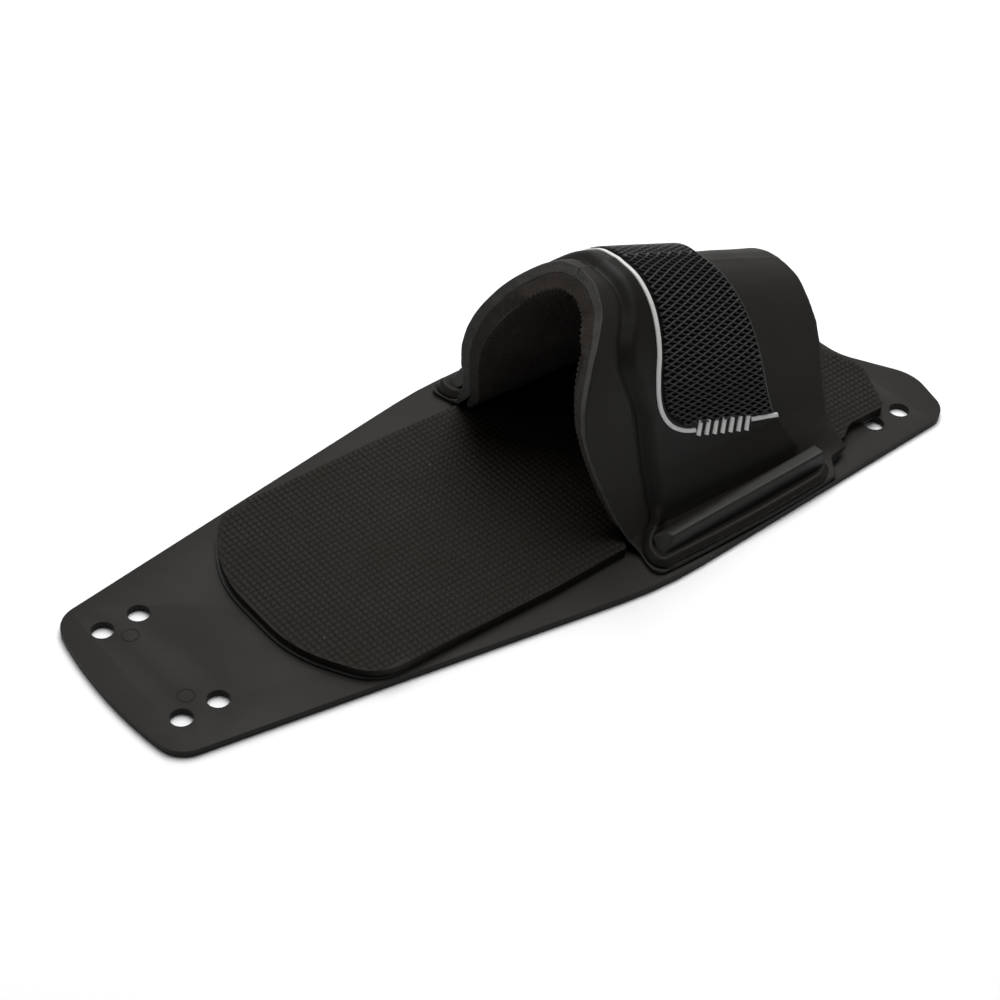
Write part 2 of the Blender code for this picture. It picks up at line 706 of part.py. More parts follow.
def main():
    clear_scene()
    parts = make_collection("rear_toe_plate")
    cutters = make_collection("cutters")
    spots = [(word, number, x, y) for word, number, (x, y) in screw_places()]
    left = [(x, y) for word, _, x, y in spots if word == "left"]
    right = [(x, y) for word, _, x, y in spots if word == "right"]

    plate = finish_object(base_plate(), "plate_nylon", parts)
    backing = flat_object("pad_backing", [pad_outline(BACKING_LIP)], PLATE_THICK + GAP,
                          BACKING_THICK)
    finish_object(backing, "backing_film", parts)
    pad = flat_object("foot_pad", [pad_outline()], PAD_BOTTOM, PAD_THICK, PAD_ROUND)
    finish_object(pad, "pad_foam", parts)
    outer = finish_object(outer_liner(), "outer_neoprene", parts, 60.0)
    finish_object(inner_liner(), "inner_foam", parts, 60.0)
    strap = finish_object(overlay(), "overlay_rubber", parts, 60.0)
    finish_object(grip_panel(), "grip_rubber", parts, 60.0)
    finish_object(accent_strip(), "accent_ink", parts, 60.0)

    shank = cutter("shank_clearance", CLEARANCE_R, -1.0, RAIL_BOTTOM + 1.0, left + right, cutters)
    head_top = SCREW_RECESS + SCREW_HEAD_TALL + GAP
    sink = cutter("head_clearance", SCREW_HEAD_R + HEAD_CLEARANCE, -1.0, head_top, left + right,
                  cutters)
    cut(plate, shank)
    cut(plate, sink)
    cut(outer, shank)
    cut(strap, shank)
    for word, places, side in (("left", left, -1), ("right", right, 1)):
        bar = finish_object(rail("rail_" + word, side), "rail_nylon", parts)
        pilot = cutter("pilot_" + word, SCREW_R + GAP, RAIL_BOTTOM - 1.0, SCREW_TOP + GAP,
                       places, cutters)
        cut(bar, pilot)
    for word, number, x, y in spots:
        screw = rail_screw(f"rail_screw_{word}_{number}", x, y)
        finish_object(screw, "screw_steel", parts)


main()
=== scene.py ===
import math

import bmesh
import bpy
import numpy as np
from mathutils import Matrix, Vector


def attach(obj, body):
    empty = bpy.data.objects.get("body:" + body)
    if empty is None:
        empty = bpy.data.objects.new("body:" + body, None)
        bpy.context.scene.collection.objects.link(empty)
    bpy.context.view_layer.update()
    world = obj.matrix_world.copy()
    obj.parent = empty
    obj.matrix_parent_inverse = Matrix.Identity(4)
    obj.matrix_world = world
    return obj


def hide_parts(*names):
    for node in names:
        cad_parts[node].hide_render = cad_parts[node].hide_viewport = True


# A rear toe plate for a water ski. All lengths below are millimetres in the CAD frame:
# origin in the middle of the plate's underside, +Y towards the toes, +Z up.
MM = 0.001
GAP = 0.3
rng = np.random.default_rng(11)

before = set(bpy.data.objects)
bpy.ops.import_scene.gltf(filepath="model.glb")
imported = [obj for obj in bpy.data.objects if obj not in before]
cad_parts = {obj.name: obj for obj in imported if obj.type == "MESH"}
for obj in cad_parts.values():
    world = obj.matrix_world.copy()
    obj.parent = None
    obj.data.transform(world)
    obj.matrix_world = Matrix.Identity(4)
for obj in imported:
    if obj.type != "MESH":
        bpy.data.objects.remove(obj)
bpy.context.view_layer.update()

# ---- plate ----
PLATE_LENGTH = 310.2
PLATE_THICK = 2.5
PLATE_REAR_ARC = 167.0
PLATE_TOP_ROUND = 0.55
PLATE_BOTTOM_ROUND = 0.4
PLATE_REAR_XS = (4.0, 8.0, 12.0, 16.0, 20.0, 24.0)  # points of the rear arc, right half
PLATE_CORNERS = [  # right half, rear to front: x, y, corner radius
    (34.4, -151.4, 10.0),
    (62.2, 11.9, 150.0),
    (55.2, 150.6, 10.5),
    (33.2, 156.9, 16.0),
    (9.3, 143.0, 22.0),
]
PLATE_NOTCH_Y = 142.6
HOLE_DIA = 7.14
HOLE_PITCH = 12.7
REAR_HOLE_X = 22.225
REAR_HOLE_Y = -141.9
FRONT_HOLE_X = 44.45
FRONT_HOLE_Y = 124.8
EJECTOR_X = 15.5
EJECTOR_Y = -136.1
EJECTOR_R = 2.6
EJECTOR_RIB_WIDE = 0.30
EJECTOR_RIB_TALL = 0.13

# ---- pad ----
PAD_BOTTOM = 3.7
PAD_THICK = 2.8
PAD_ROUND = 0.5
PAD_SHIFT = 1.2
PAD_REAR = -102.0
PAD_FRONT = 136.6
PAD_CORNERS = [  # right half, rear to front: x, y, corner radius
    (19.7, -102.0, 45.0),
    (44.0, -87.7, 16.0),
    (45.2, -21.0, 8.0),
    (44.2, 9.6, 1.0),
    (38.6, 12.8, 2.0),
    (41.2, 99.5, 3.0),
    (46.0, 106.6, 3.5),
    (41.2, 113.6, 9.0),
    (41.4, 131.0, 4.0),
    (21.0, 141.3, 12.0),
    (4.0, 136.6, 10.0),
]
KNOB_PITCH_X = 2.17
KNOB_PITCH_Y = 2.08
KNOB_TALL = 0.40
KNOB_GAP = 0.10  # half the gap between the feet of two knobs
KNOB_SINK = 0.25  # knobs start this far inside the body they stand on
KNOB_JITTER = 0.03
KNOB_WEAR = 0.12
KNOB_MARGIN = 0.8  # nearest knob centre to the pad's edge
KNOB_COLUMNS = 24  # either side of the middle
KNOB_ROWS = (-52, 70)  # rearmost and foremost row
BACKING_THICK = 0.9
BACKING_GROW = 1.0  # the backing shows this far past the pad's rear
BACKING_TOP_ROUND = 0.15
BACKING_BOTTOM_ROUND = 0.1

# ---- toe loop ----
MOUTH_EDGE = [  # outer liner's outer face; heights above the plate's top
    (59.2, 10.4, 1.8), (52.5, 11.9, 1.8), (47.8, 12.9, 2.3), (44.0, 11.5, 4.8),
    (40.4, 9.4, 10.5), (38.2, 7.6, 16.0), (35.4, 4.8, 25.0), (32.7, 1.9, 35.0),
    (30.2, 0.6, 44.5), (27.3, 2.8, 55.0), (22.9, 8.7, 65.0), (15.7, 17.1, 74.0),
    (8.2, 20.4, 79.2), (0.0, 21.2, 81.0),
]
FRONT_EDGE = [
    (57.0, 104.2, 1.8), (52.6, 104.4, 2.2), (48.9, 104.1, 4.4), (45.5, 104.3, 6.6),
    (40.4, 104.9, 9.4), (36.2, 106.0, 14.6), (32.3, 107.5, 21.9), (27.6, 109.2, 30.7),
    (23.5, 110.3, 36.4), (18.1, 111.4, 41.8), (11.6, 112.4, 46.2), (5.6, 112.8, 48.2),
    (0.0, 112.9, 48.8),
]
BEND_INDEX = 3  # edge point where the flange turns up into the wall
T_STEPS = 165
T_LOW = -0.03  # the slanted mouth edge reaches a little behind station 0
Q_STEPS = 200  # steps across half the girth
FLANGE_STEPS = 8  # CAD points along the flange and along the wall
WALL_STEPS = 31
FINE = 4  # finer points per CAD point
FLANGE_FLAT_TO = 0.86  # station up to which the flange lies flat
FLANGE_BULGE = 1.6
FLANGE_TURN = (0.74, 0.86)  # shares of the half girth between wall and flat flange
PINNED_POINTS = 6  # wall points above the flange that stay at its level
PIN_FADE = 5.0
SHOULDER_BULGE = 1.2
SHOULDER_LOW = 25.0  # heights between which the shoulder's bulge comes in
SHOULDER_RISE = 30.0
SHOULDER_HALF_WIDTH = 20.0
OUTER_LINER_THICK = 3.5
FLANGE_THICK = 1.5
INNER_LINER_THICK = 5.2
INNER_WALL_THINNING = 1.5  # the inner liner is squeezed thinner on the walls
INNER_WALL_TURN = (0.32, 0.56)
INNER_TIP_THINNING = 1.6  # and thins to a rounded tip where it meets the pad
INNER_TIP_TURN = (0.735, 0.825)
INNER_TIP_SHARES = 0.972 + 0.028 * np.sin(np.linspace(0.0, 0.5 * math.pi, 12))[1:]
INNER_TIP = 0.026  # shares of the girth over which the long edges round off
OUTER_TIP = 0.008
INNER_KNOB_TALL = 0.36
INNER_KNOB_GAP_X = 0.26
INNER_KNOB_GAP_Y = 0.16
INNER_SERRATION = 0.5
LINER_GAP = 0.02  # between the two liners, which are glued together
SEAM_DEEP = 0.45  # butt seam of both layers, at the crown of the mouth
SEAM_WIDE = 0.0022
SEAM_SHARES = np.linspace(-0.006, 0.006, 13)
EDGE_ROUND = 0.16  # the cut edges' rounding, as a length and a share of depth
CUT_EDGE_REACH = 0.6  # the cut edges' fine wear fades out over this length
CUT_EDGE_WEAR = 0.22
SURFACE_WAVE = 0.08
MOUTH_SLANT = 0.15  # the mouth's cut edges lean back by this share of depth
WALL_SLANT = -0.28  # and lean the other way low on the walls
SLANT_TURN = (0.08, 0.55)
FRONT_FLANGE_CUT = 0.085  # share of the half girth missing from the flanges in front
FRONT_CUT_TURN = (0.86, 0.93)
FLANGE_CORNER = 5.0  # rounded rear corners of the liner's flanges
FLANGE_CORNER_SHARE = 0.042
LEFT_FLANGE_SHIFT = 1.7  # the left flange reaches this much further back
LOOP_RUN = 95.0  # rough distance in y from the mouth to the front edge
INNER_REACH_MOUTH = 0.82
INNER_REACH_FRONT = 0.76
OVERLAY_THICK = 1.9
OVERLAY_FLANGE_THICK = 1.2
OVERLAY_REACH = 0.992
OVERLAY_REAR = [
    (0.00, 27.6), (0.08, 28.1), (0.15, 26.6), (0.21, 23.3), (0.27, 19.7), (0.33, 18.6),
    (0.40, 20.8), (0.47, 22.9), (0.55, 23.2), (0.66, 23.6), (0.76, 23.4), (0.83, 21.5),
    (0.87, 17.0), (0.91, 13.9), (0.95, 12.9), (0.98, 13.8), (1.00, 16.5),
]
OVERLAY_FRONT = [
    (0.00, 72.7), (0.12, 75.0), (0.24, 77.0), (0.45, 78.3), (0.58, 79.6), (0.68, 82.2),
    (0.80, 86.4), (0.86, 89.0), (0.91, 92.2), (0.95, 92.4), (0.98, 89.0), (1.00, 84.0),
]
OVERLAY_EDGE_LIFT = 0.12
OVERLAY_SLOPE = (-0.6, 4.4)  # distances from the rim over which the plain wall rises
OVERLAY_FRONT_ROUND = 0.4
OVERLAY_RIM_FROM = 0.84  # the front edge has the round rim past this share
OVERLAY_WAVE = 0.22
BEAD_TALL = 0.90  # round rim on the flange
BEAD_FROM_EDGE = 2.0
BEAD_WIDE = 1.6
DIP_DEEP = 0.25
DIP_TURN = (3.4, 5.2)
VALLEY_DEEP = 1.25  # soft groove along the overlay's rear edge
VALLEY_WIDE = 1.8
STRIP_PATH = [
    (57.0, 81.5), (58.0, 62.0), (59.4, 45.0), (58.8, 38.8), (56.4, 34.2), (52.0, 31.2),
    (46.4, 30.2), (40.0, 31.0), (33.0, 33.2), (26.0, 34.9), (18.0, 36.3), (9.0, 36.8),
    (0.0, 36.2),
]
STRIP_WIDTH = 1.7
STRIP_TALL = 0.45
STRIP_POINTS = 260
TICKS = 7  # plain slanted bars that interrupt the strip on each side
TICK_FIRST_Y = 46.6
TICK_PITCH = 3.5
TICK_RUN = 58.8
TICK_LONG = 5.6
TICK_SLANT = 0.9
BAR_ZONE_RUN = 50.0
BAR_ZONE_Y = (45.0, 69.3)
PANEL_REAR = [
    (0.0, 38.0), (9.0, 38.6), (18.0, 38.1), (26.0, 36.7), (33.0, 35.0), (40.0, 32.9),
    (46.0, 32.2), (50.6, 33.2), (53.8, 35.4), (56.4, 39.6),
]
PANEL_FRONT_INSET = 1.2
PANEL_GIRTH = 92.0
PANEL_TAPER = 0.03
LATTICE_ACROSS = 0.482  # strand lines per millimetre across and along the panel
LATTICE_ALONG = 0.205
LATTICE_LINES = (-30, 60)
LATTICE_RUN = 58.5
LATTICE_STEP = 0.26
FIELD = GAP + OVERLAY_THICK  # lift of the overlay's plain outer face
STRAND_TOP = FIELD + 1.0
STRAND_HALF = ((0.25, 0.40), (0.14, 0.08))  # half widths and how far below the top
STRAND_FOOT = 0.33
STRAND_SINK = 0.02
SUNK = 0.1  # pieces on the overlay start this far inside it
PIT_LIFT = 0.12

# ---- rails ----
RAIL_BOTTOM = PLATE_THICK + 3 * GAP + FLANGE_THICK + OVERLAY_FLANGE_THICK
RAIL_REAR = 17.6
RAIL_FRONT = 91.4
RAIL_HEIGHT = 5.2
RAIL_CHAMFER = 4.2  # the rear end slopes forward by this much
RAIL_OUTER_X = (55.0, 53.2)  # each pair is a value at the rear end and at the front end
RAIL_INNER_X = (47.9, 46.2)
RAIL_FOOT_X = (50.0, 50.4)
RAIL_LEAN = (3.0, 1.0)
RAIL_DRAFT = 1.0
RAIL_TOP_TILT = 0.3
RAIL_EDGE_LIFT = 2.7  # height of the inner edge above the foot
RAIL_SINK = 0.25  # the rail presses this far into the overlay
LEFT_RAIL_SHIFT = -2.4
RAIL_ROUND = 1.0
RAIL_END_ROUND = 1.5  # the front end is rounder than the long edges

# ---- stage ----
FLOOR_HALF = 6.0  # metres, as are the lamps' places and sizes
FLOOR_DROP = 0.0002
FLOOR_TONE = 0.96
SKY_STRENGTH = 0.14
OBJECT_MIDDLE = (0.0, 0.0, 0.03)
LAMPS = (  # name, place, aim, size, watts
    ("top_light", (-0.28, 0.30, 1.24), (0.0, 0.0, 0.0), 1.0, 18.2),
    ("back_light", (-0.75, 0.72, 0.90), OBJECT_MIDDLE, 0.9, 6.0),
    ("left_light", (-0.72, -0.92, 0.30), OBJECT_MIDDLE, 0.6, 1.9),
)
CAMERA_AZIMUTH = 48.93
CAMERA_ELEVATION = 41.09
CAMERA_ROLL = 3.74
CAMERA_DISTANCE = 709.6
CAMERA_TARGET = (0.92, -6.2, 2.5)
CAMERA_LENS = 78.0


# ---- curves ----
def curve_value(table, x):
    """Smooth values of a table of (x, value) pairs at an array of x, held level past its ends."""
    xs, ys = np.array(table, float).T
    slope = np.diff(ys) / np.diff(xs)
    lean = np.concatenate([slope[:1], (ys[2:] - ys[:-2]) / (xs[2:] - xs[:-2]), slope[-1:]])
    x = np.clip(x, xs[0], xs[-1])
    i = np.clip(np.searchsorted(xs, x, side="right") - 1, 0, len(xs) - 2)
    w = xs[i + 1] - xs[i]
    u = (x - xs[i]) / w
    a = (1 + 2 * u) * (1 - u) ** 2 * ys[i] + u * (1 - u) ** 2 * w * lean[i]
    return a + u * u * (3 - 2 * u) * ys[i + 1] + u * u * (u - 1) * w * lean[i + 1]


def smooth_path(points, count):
    """Evenly spaced points on a smooth curve through the given ones."""
    points = np.array(points, float)
    runs = np.concatenate([[0.0], np.cumsum(np.linalg.norm(np.diff(points, axis=0), axis=1))])
    at = np.linspace(0.0, runs[-1], count)
    return np.stack([curve_value(list(zip(runs, points[:, k])), at)
                     for k in range(points.shape[1])], axis=1)


def smooth_step(x, low, high):
    u = np.clip((x - low) / (high - low), 0.0, 1.0)
    return u * u * (3 - 2 * u)


def wave_noise(points, scale, seed, octaves=3):
    """Smooth irregular values of about -1 to 1 at an array of 3D points."""
    made = np.random.default_rng(seed)
    total = np.zeros(len(points))
    for octave in range(octaves):
        for _ in range(5):
            way = made.normal(size=3)
            way /= np.linalg.norm(way)
            turn = made.uniform(0, 2 * math.pi)
            rate = 2 * math.pi / scale * 2 ** octave * made.uniform(0.7, 1.3)
            total += np.sin(points @ way * rate + turn) * 0.35 / 2 ** octave
    return total


# ---- toe loop surface ----
def edge_profile(points):
    flange = smooth_path(points[:BEND_INDEX + 1], FLANGE_STEPS * FINE + 1)
    wall = smooth_path(points[BEND_INDEX:], WALL_STEPS * FINE + 1)
    return np.concatenate([flange, wall[1:]])


MOUTH = edge_profile(MOUTH_EDGE)
FRONT = edge_profile(FRONT_EDGE)


def half_profile(t):
    """The loop's half section at station t, from the flange's edge to the crown."""
    step = np.arange(len(MOUTH)) / FINE
    middle = 4.0 * t * (1.0 - t)
    past_mouth = math.sin(math.pi * math.sqrt(max(0.0, t)))
    points = MOUTH + (FRONT - MOUTH) * t
    rise = max(0.0, (t - FLANGE_FLAT_TO) / (1.0 - FLANGE_FLAT_TO)) ** 1.5
    pinned = np.clip((FLANGE_STEPS + PINNED_POINTS - step) / PIN_FADE, 0.0, 1.0)
    points[:, 2] += pinned * (rise - t) * (FRONT[:, 2] - MOUTH[:, 2]) + PLATE_THICK
    points[:, 0] += FLANGE_BULGE * middle * np.clip(1.0 - step / FLANGE_STEPS, 0.0, 1.0)
    high = np.clip((MOUTH[:, 2] - SHOULDER_LOW) / SHOULDER_RISE, 0.0, 1.0)
    bulge = SHOULDER_BULGE * past_mouth * high
    points[:, 0] += bulge * np.minimum(1.0, MOUTH[:, 0] / SHOULDER_HALF_WIDTH)
    points[:, 2] += 0.5 * bulge
    return points


STATIONS = np.linspace(T_LOW, 1.0, T_STEPS + 1)


def make_face():
    """Points, normals and half girths of the loop's outer face over (t, signed share q)."""
    shares = np.linspace(0.0, 1.0, Q_STEPS + 1)
    rows = []
    girths = []
    for t in STATIONS:
        profile = half_profile(t)[::-1]
        runs = np.concatenate([[0.0],
                               np.cumsum(np.linalg.norm(np.diff(profile, axis=0), axis=1))])
        half = np.stack([np.interp(shares * runs[-1], runs, profile[:, k]) for k in range(3)],
                        axis=1)
        mirrored = half[:0:-1] * np.array([-1.0, 1.0, 1.0])
        rows.append(np.concatenate([mirrored, half]))
        girths.append(runs[-1])
    points = np.array(rows)
    across = np.gradient(points, axis=1)
    forward = np.gradient(points, axis=0)
    normals = np.cross(across, forward)
    normals /= np.linalg.norm(normals, axis=2, keepdims=True)
    return points, normals, np.array(girths)


FACE, NORMALS, GIRTHS = make_face()


def sample(array, t, q):
    a = (np.clip(t, T_LOW, 1.0) - T_LOW) / (1.0 - T_LOW) * T_STEPS
    b = (np.clip(q, -1.0, 1.0) + 1.0) * Q_STEPS
    i = np.minimum(a.astype(int), T_STEPS - 1)
    j = np.minimum(b.astype(int), 2 * Q_STEPS - 1)
    a = (a - i)[..., None]
    b = (b - j)[..., None]
    near = array[i, j] * (1 - a) + array[i + 1, j] * a
    far = array[i, j + 1] * (1 - a) + array[i + 1, j + 1] * a
    return near * (1 - b) + far * b


def girth(t):
    return np.interp(t, STATIONS, GIRTHS)


def on_face(t, q, lift=0.0):
    """Points of the face at station t and signed share q of the half girth, lifted off it."""
    t, q = np.broadcast_arrays(np.asarray(t, float), np.asarray(q, float))
    lift = np.broadcast_to(np.asarray(lift, float), t.shape)
    normal = sample(NORMALS, t, q)
    normal /= np.linalg.norm(normal, axis=-1, keepdims=True)
    return sample(FACE, t, q) + normal * lift[..., None]


def station_at(q, y):
    """The station t where the face at share q has this y."""
    t = np.full(np.broadcast(q, y).shape, 0.5)
    for _ in range(12):
        t = np.clip(t + (y - sample(FACE, t, q + 0 * t)[..., 1]) / LOOP_RUN, T_LOW, 1.02)
    return t


def station_at_run(run, y):
    """t and q of a spot a signed distance from the crown, at this y."""
    t = np.full(np.broadcast(run, y).shape, 0.5)
    for _ in range(12):
        q = run / girth(t)
        t = np.clip(t + (y - sample(FACE, t, q + 0 * t)[..., 1]) / LOOP_RUN, T_LOW, 1.02)
    return t, run / girth(t)


def flange_blend(q):
    return smooth_step(np.abs(q), *FLANGE_TURN)


def left_shift(q):
    """How much further back a rear edge lies at this share of the girth."""
    return np.where(q < 0.0, LEFT_FLANGE_SHIFT * flange_blend(q), 0.0)


def valley(q, y):
    """Depth of the soft groove that the moulding leaves along the overlay's rear edge."""
    rear = curve_value(OVERLAY_REAR, np.abs(q)) - left_shift(q)
    wide = VALLEY_WIDE * (1.0 - 0.35 * flange_blend(q))
    return VALLEY_DEEP * (1.0 - 0.5 * flange_blend(q)) * np.exp(-((y - rear) / wide) ** 2)


# ---- mesh making ----
def link(obj):
    bpy.context.scene.collection.objects.link(obj)


def make_object(name, points, faces, material):
    mesh = bpy.data.meshes.new(name)
    mesh.from_pydata((np.asarray(points) * MM).tolist(), [], [list(map(int, f)) for f in faces])
    mesh.validate()
    mesh.shade_smooth()
    obj = bpy.data.objects.new(name, mesh)
    link(obj)
    obj.data.materials.append(material)
    return obj


def fix_normals(obj):
    bm = bmesh.new()
    bm.from_mesh(obj.data)
    bmesh.ops.recalc_face_normals(bm, faces=bm.faces)
    bm.to_mesh(obj.data)
    bm.free()


def round_edges(bm, rim, radius):
    bmesh.ops.bevel(bm, geom=rim, offset=radius * MM, segments=4, profile=0.5,
                    affect="EDGES", clamp_overlap=True)


def smooth_by_angle(obj, degrees):
    obj.data.set_sharp_from_angle(angle=math.radians(degrees))


def grid_faces(rows, columns, start=0, flip=False):
    i = np.arange(rows - 1)[:, None] * columns + np.arange(columns - 1)[None, :] + start
    quads = np.stack([i, i + 1, i + columns + 1, i + columns], axis=-1).reshape(-1, 4)
    return quads[:, ::-1] if flip else quads


def shell(name, upper, lower, material):
    """Closed body between two grids of points with the same rows and columns."""
    rows, columns = upper.shape[:2]
    points = np.concatenate([upper.reshape(-1, 3), lower.reshape(-1, 3)])
    below = rows * columns
    border = list(range(columns))
    border += [r * columns + columns - 1 for r in range(1, rows)]
    border += [(rows - 1) * columns + c for c in range(columns - 2, -1, -1)]
    border += [r * columns for r in range(rows - 2, 0, -1)]
    border = np.array(border)
    after = np.roll(border, -1)
    sides = np.stack([after, border, border + below, after + below], axis=1)
    faces = np.concatenate([grid_faces(rows, columns), grid_faces(rows, columns, below, True),
                            sides])
    obj = make_object(name, points, faces, material)
    fix_normals(obj)
    return obj


def ring_faces(count, size, start=0):
    """Faces of a closed body of rings: each is joined to the next, with flat ends."""
    i = np.arange(count - 1)[:, None] * size + start
    j = np.arange(size)[None, :]
    k = (j + 1) % size
    sides = np.stack([i + j, i + k, i + size + k, i + size + j], axis=-1).reshape(-1, 4)
    faces = [list(face) for face in sides]
    faces.append(list(start + np.arange(size))[::-1])
    faces.append(list(start + (count - 1) * size + np.arange(size)))
    return faces


def ring_body(name, rings, material):
    obj = make_object(name, rings.reshape(-1, 3), ring_faces(*rings.shape[:2]), material)
    fix_normals(obj)
    return obj


def knobs(centres, right, ahead, up, half_x, half_y, tall):
    """Blunt pyramids, one at each centre, as one set of points and faces."""
    levels = [(1.0, -KNOB_SINK), (0.98, 0.25 * tall), (0.64, 0.82 * tall), (0.28, tall)]
    corners = np.array([(-1, -1), (1, -1), (1, 1), (-1, 1)], float)
    count = len(centres)
    points = []
    for share, height in levels:
        lift = np.broadcast_to(height, (count,))[:, None]
        for cx, cy in corners:
            points.append(centres + right * (cx * share * half_x)
                          + ahead * (cy * share * half_y)
                          + up * lift)
    points = np.stack(points, axis=1)
    one = [[3, 2, 1, 0], [12, 13, 14, 15]]
    for level in range(len(levels) - 1):
        a = 4 * level
        for k in range(4):
            m = (k + 1) % 4
            one.append([a + k, a + m, a + 4 + m, a + 4 + k])
    faces = (np.array(one)[None] + 16 * np.arange(count)[:, None, None]).reshape(-1, 4)
    return points.reshape(-1, 3), faces


def joined(objects, name):
    """Several meshes as one object."""
    bm = bmesh.new()
    for obj in objects:
        bm.from_mesh(obj.data)
    mesh = objects[0].data
    bm.to_mesh(mesh)
    bm.free()
    objects[0].name = name
    mesh.name = name
    for obj in objects[1:]:
        bpy.data.objects.remove(obj)
    return objects[0]


# ---- materials ----
BUMP_DISTANCE = 0.00012  # metres
SPECK_SCALE = 130.0
SPECK_SHARE = 0.93  # cells of the dust pattern above this value hold a speck
SPECK_COLOUR = (0.35, 0.34, 0.33, 1.0)


def moulded(name, colour, roughness, specular=0.35, grain=0.35, grain_scale=900.0,
            mottle=0.18, mottle_scale=45.0, dust=0.0, cell=0.0, cell_scale=900.0):
    """Procedural moulded or foam surface: mottled colour, fine grain bump, dust, open cells."""
    material = bpy.data.materials.new(name)
    material.use_nodes = True
    nodes = material.node_tree.nodes
    links = material.node_tree.links
    shader = nodes["Principled BSDF"]
    shader.inputs["Specular IOR Level"].default_value = specular
    where = nodes.new("ShaderNodeTexCoord")

    def noise(scale, detail, rough):
        made = nodes.new("ShaderNodeTexNoise")
        made.inputs["Scale"].default_value = scale
        made.inputs["Detail"].default_value = detail
        made.inputs["Roughness"].default_value = rough
        links.new(where.outputs["Object"], made.inputs["Vector"])
        return made

    def span(source, low, high, to_low, to_high):
        made = nodes.new("ShaderNodeMapRange")
        made.inputs["From Min"].default_value = low
        made.inputs["From Max"].default_value = high
        made.inputs["To Min"].default_value = to_low
        made.inputs["To Max"].default_value = to_high
        links.new(source, made.inputs["Value"])
        return made.outputs["Result"]

    def feed(socket, value):
        if isinstance(value, bpy.types.NodeSocket):
            links.new(value, socket)
        else:
            socket.default_value = value

    def mixed(factor, a, b, blend="MIX"):
        made = nodes.new("ShaderNodeMix")
        made.data_type = "RGBA"
        made.blend_type = blend
        for label, value in (("Factor", factor), ("A", a), ("B", b)):
            feed(made.inputs[label], value)
        return made.outputs["Result"]

    def combined(operation, a, b):
        made = nodes.new("ShaderNodeMath")
        made.operation = operation
        feed(made.inputs[0], a)
        feed(made.inputs[1], b)
        return made.outputs["Value"]

    clouds = noise(mottle_scale, 4.0, 0.6)
    fine = noise(grain_scale, 3.0, 0.55)
    low = tuple(c * (1.0 - mottle) for c in colour)
    high = tuple(c * (1.0 + mottle) for c in colour)
    spread = span(clouds.outputs["Fac"], 0.3, 0.7, 0.0, 1.0)
    colour_out = mixed(spread, (*low, 1.0), (*high, 1.0))
    height = fine.outputs["Fac"]
    if cell > 0.0:
        cells = nodes.new("ShaderNodeTexVoronoi")
        cells.inputs["Scale"].default_value = cell_scale
        links.new(where.outputs["Object"], cells.inputs["Vector"])
        depth = span(cells.outputs["Distance"], 0.0, 0.6, 0.0, 1.0)
        colour_out = mixed(cell, colour_out, depth, "MULTIPLY")
        height = combined("ADD", height, depth)
    if dust > 0.0:
        specks = nodes.new("ShaderNodeTexVoronoi")
        specks.inputs["Scale"].default_value = SPECK_SCALE
        links.new(where.outputs["Object"], specks.inputs["Vector"])
        spot = span(specks.outputs["Distance"], 0.035, 0.055, 1.0, 0.0)
        pick = nodes.new("ShaderNodeSeparateColor")
        links.new(specks.outputs["Color"], pick.inputs["Color"])
        chance = combined("GREATER_THAN", pick.outputs["Red"], SPECK_SHARE)
        both = combined("MULTIPLY", spot, chance)
        colour_out = mixed(combined("MULTIPLY", both, dust), colour_out, SPECK_COLOUR)
    links.new(colour_out, shader.inputs["Base Color"])
    links.new(span(clouds.outputs["Fac"], 0.3, 0.7, roughness - 0.06, roughness + 0.06),
              shader.inputs["Roughness"])
    bump = nodes.new("ShaderNodeBump")
    bump.inputs["Strength"].default_value = grain
    bump.inputs["Distance"].default_value = BUMP_DISTANCE
    links.new(height, bump.inputs["Height"])
    links.new(bump.outputs["Normal"], shader.inputs["Normal"])
    return material


PLATE_LOOK = moulded("plate_nylon_look", (0.0118, 0.0105, 0.0088), 0.58, 0.16, 0.25, 1400.0,
                     0.10, 28.0, dust=0.35)
PAD_LOOK = moulded("pad_foam_look", (0.0094, 0.0072, 0.0050), 0.62, 0.13, 0.4, 2200.0,
                   0.20, 60.0, dust=0.3)
BACKING_LOOK = moulded("backing_look", (0.016, 0.0155, 0.015), 0.50, 0.2, 0.2, 1500.0,
                       0.1, 60.0)
INNER_LOOK = moulded("inner_foam_look", (0.0520, 0.0480, 0.0440), 0.85, 0.12, 0.5, 1800.0,
                     0.16, 70.0, cell=0.35, cell_scale=1800.0)
OUTER_LOOK = moulded("outer_neoprene_look", (0.0164, 0.0153, 0.0138), 0.62, 0.13, 0.3, 2200.0,
                     0.08, 25.0, dust=0.4)
CUT_LOOK = moulded("neoprene_cut_look", (0.060, 0.058, 0.056), 0.80, 0.15, 0.5, 1500.0,
                   0.18, 160.0, cell=0.3, cell_scale=1400.0)
INNER_CUT_LOOK = moulded("inner_foam_cut_look", (0.033, 0.0278, 0.0242), 0.85, 0.12, 0.5,
                         1500.0, 0.16, 160.0, cell=0.4, cell_scale=1500.0)
OVERLAY_LOOK = moulded("overlay_rubber_look", (0.0084, 0.0076, 0.0066), 0.54, 0.14, 0.22,
                       2600.0, 0.07, 22.0, dust=0.4)
GRIP_LOOK = moulded("grip_rubber_look", (0.028, 0.027, 0.026), 0.42, 0.30, 0.2, 2600.0,
                    0.10, 40.0)
# near-black sheet under the grip lattice: painted shade in the pits between the strands
PIT_SHADE_LOOK = moulded("grip_pit_painted_shade_look", (0.005, 0.005, 0.005), 0.8, 0.1, 0.2, 2600.0, 0.1, 40.0)
# lighter colour for the rounded outer corner of the outer liner's mouth edge: a painted highlight
# where that edge catches light
EDGE_HIGHLIGHT_LOOK = moulded("cut_edge_painted_highlight_look", (0.105, 0.102, 0.098), 0.7, 0.15, 0.5, 900.0, 0.45, 500.0)
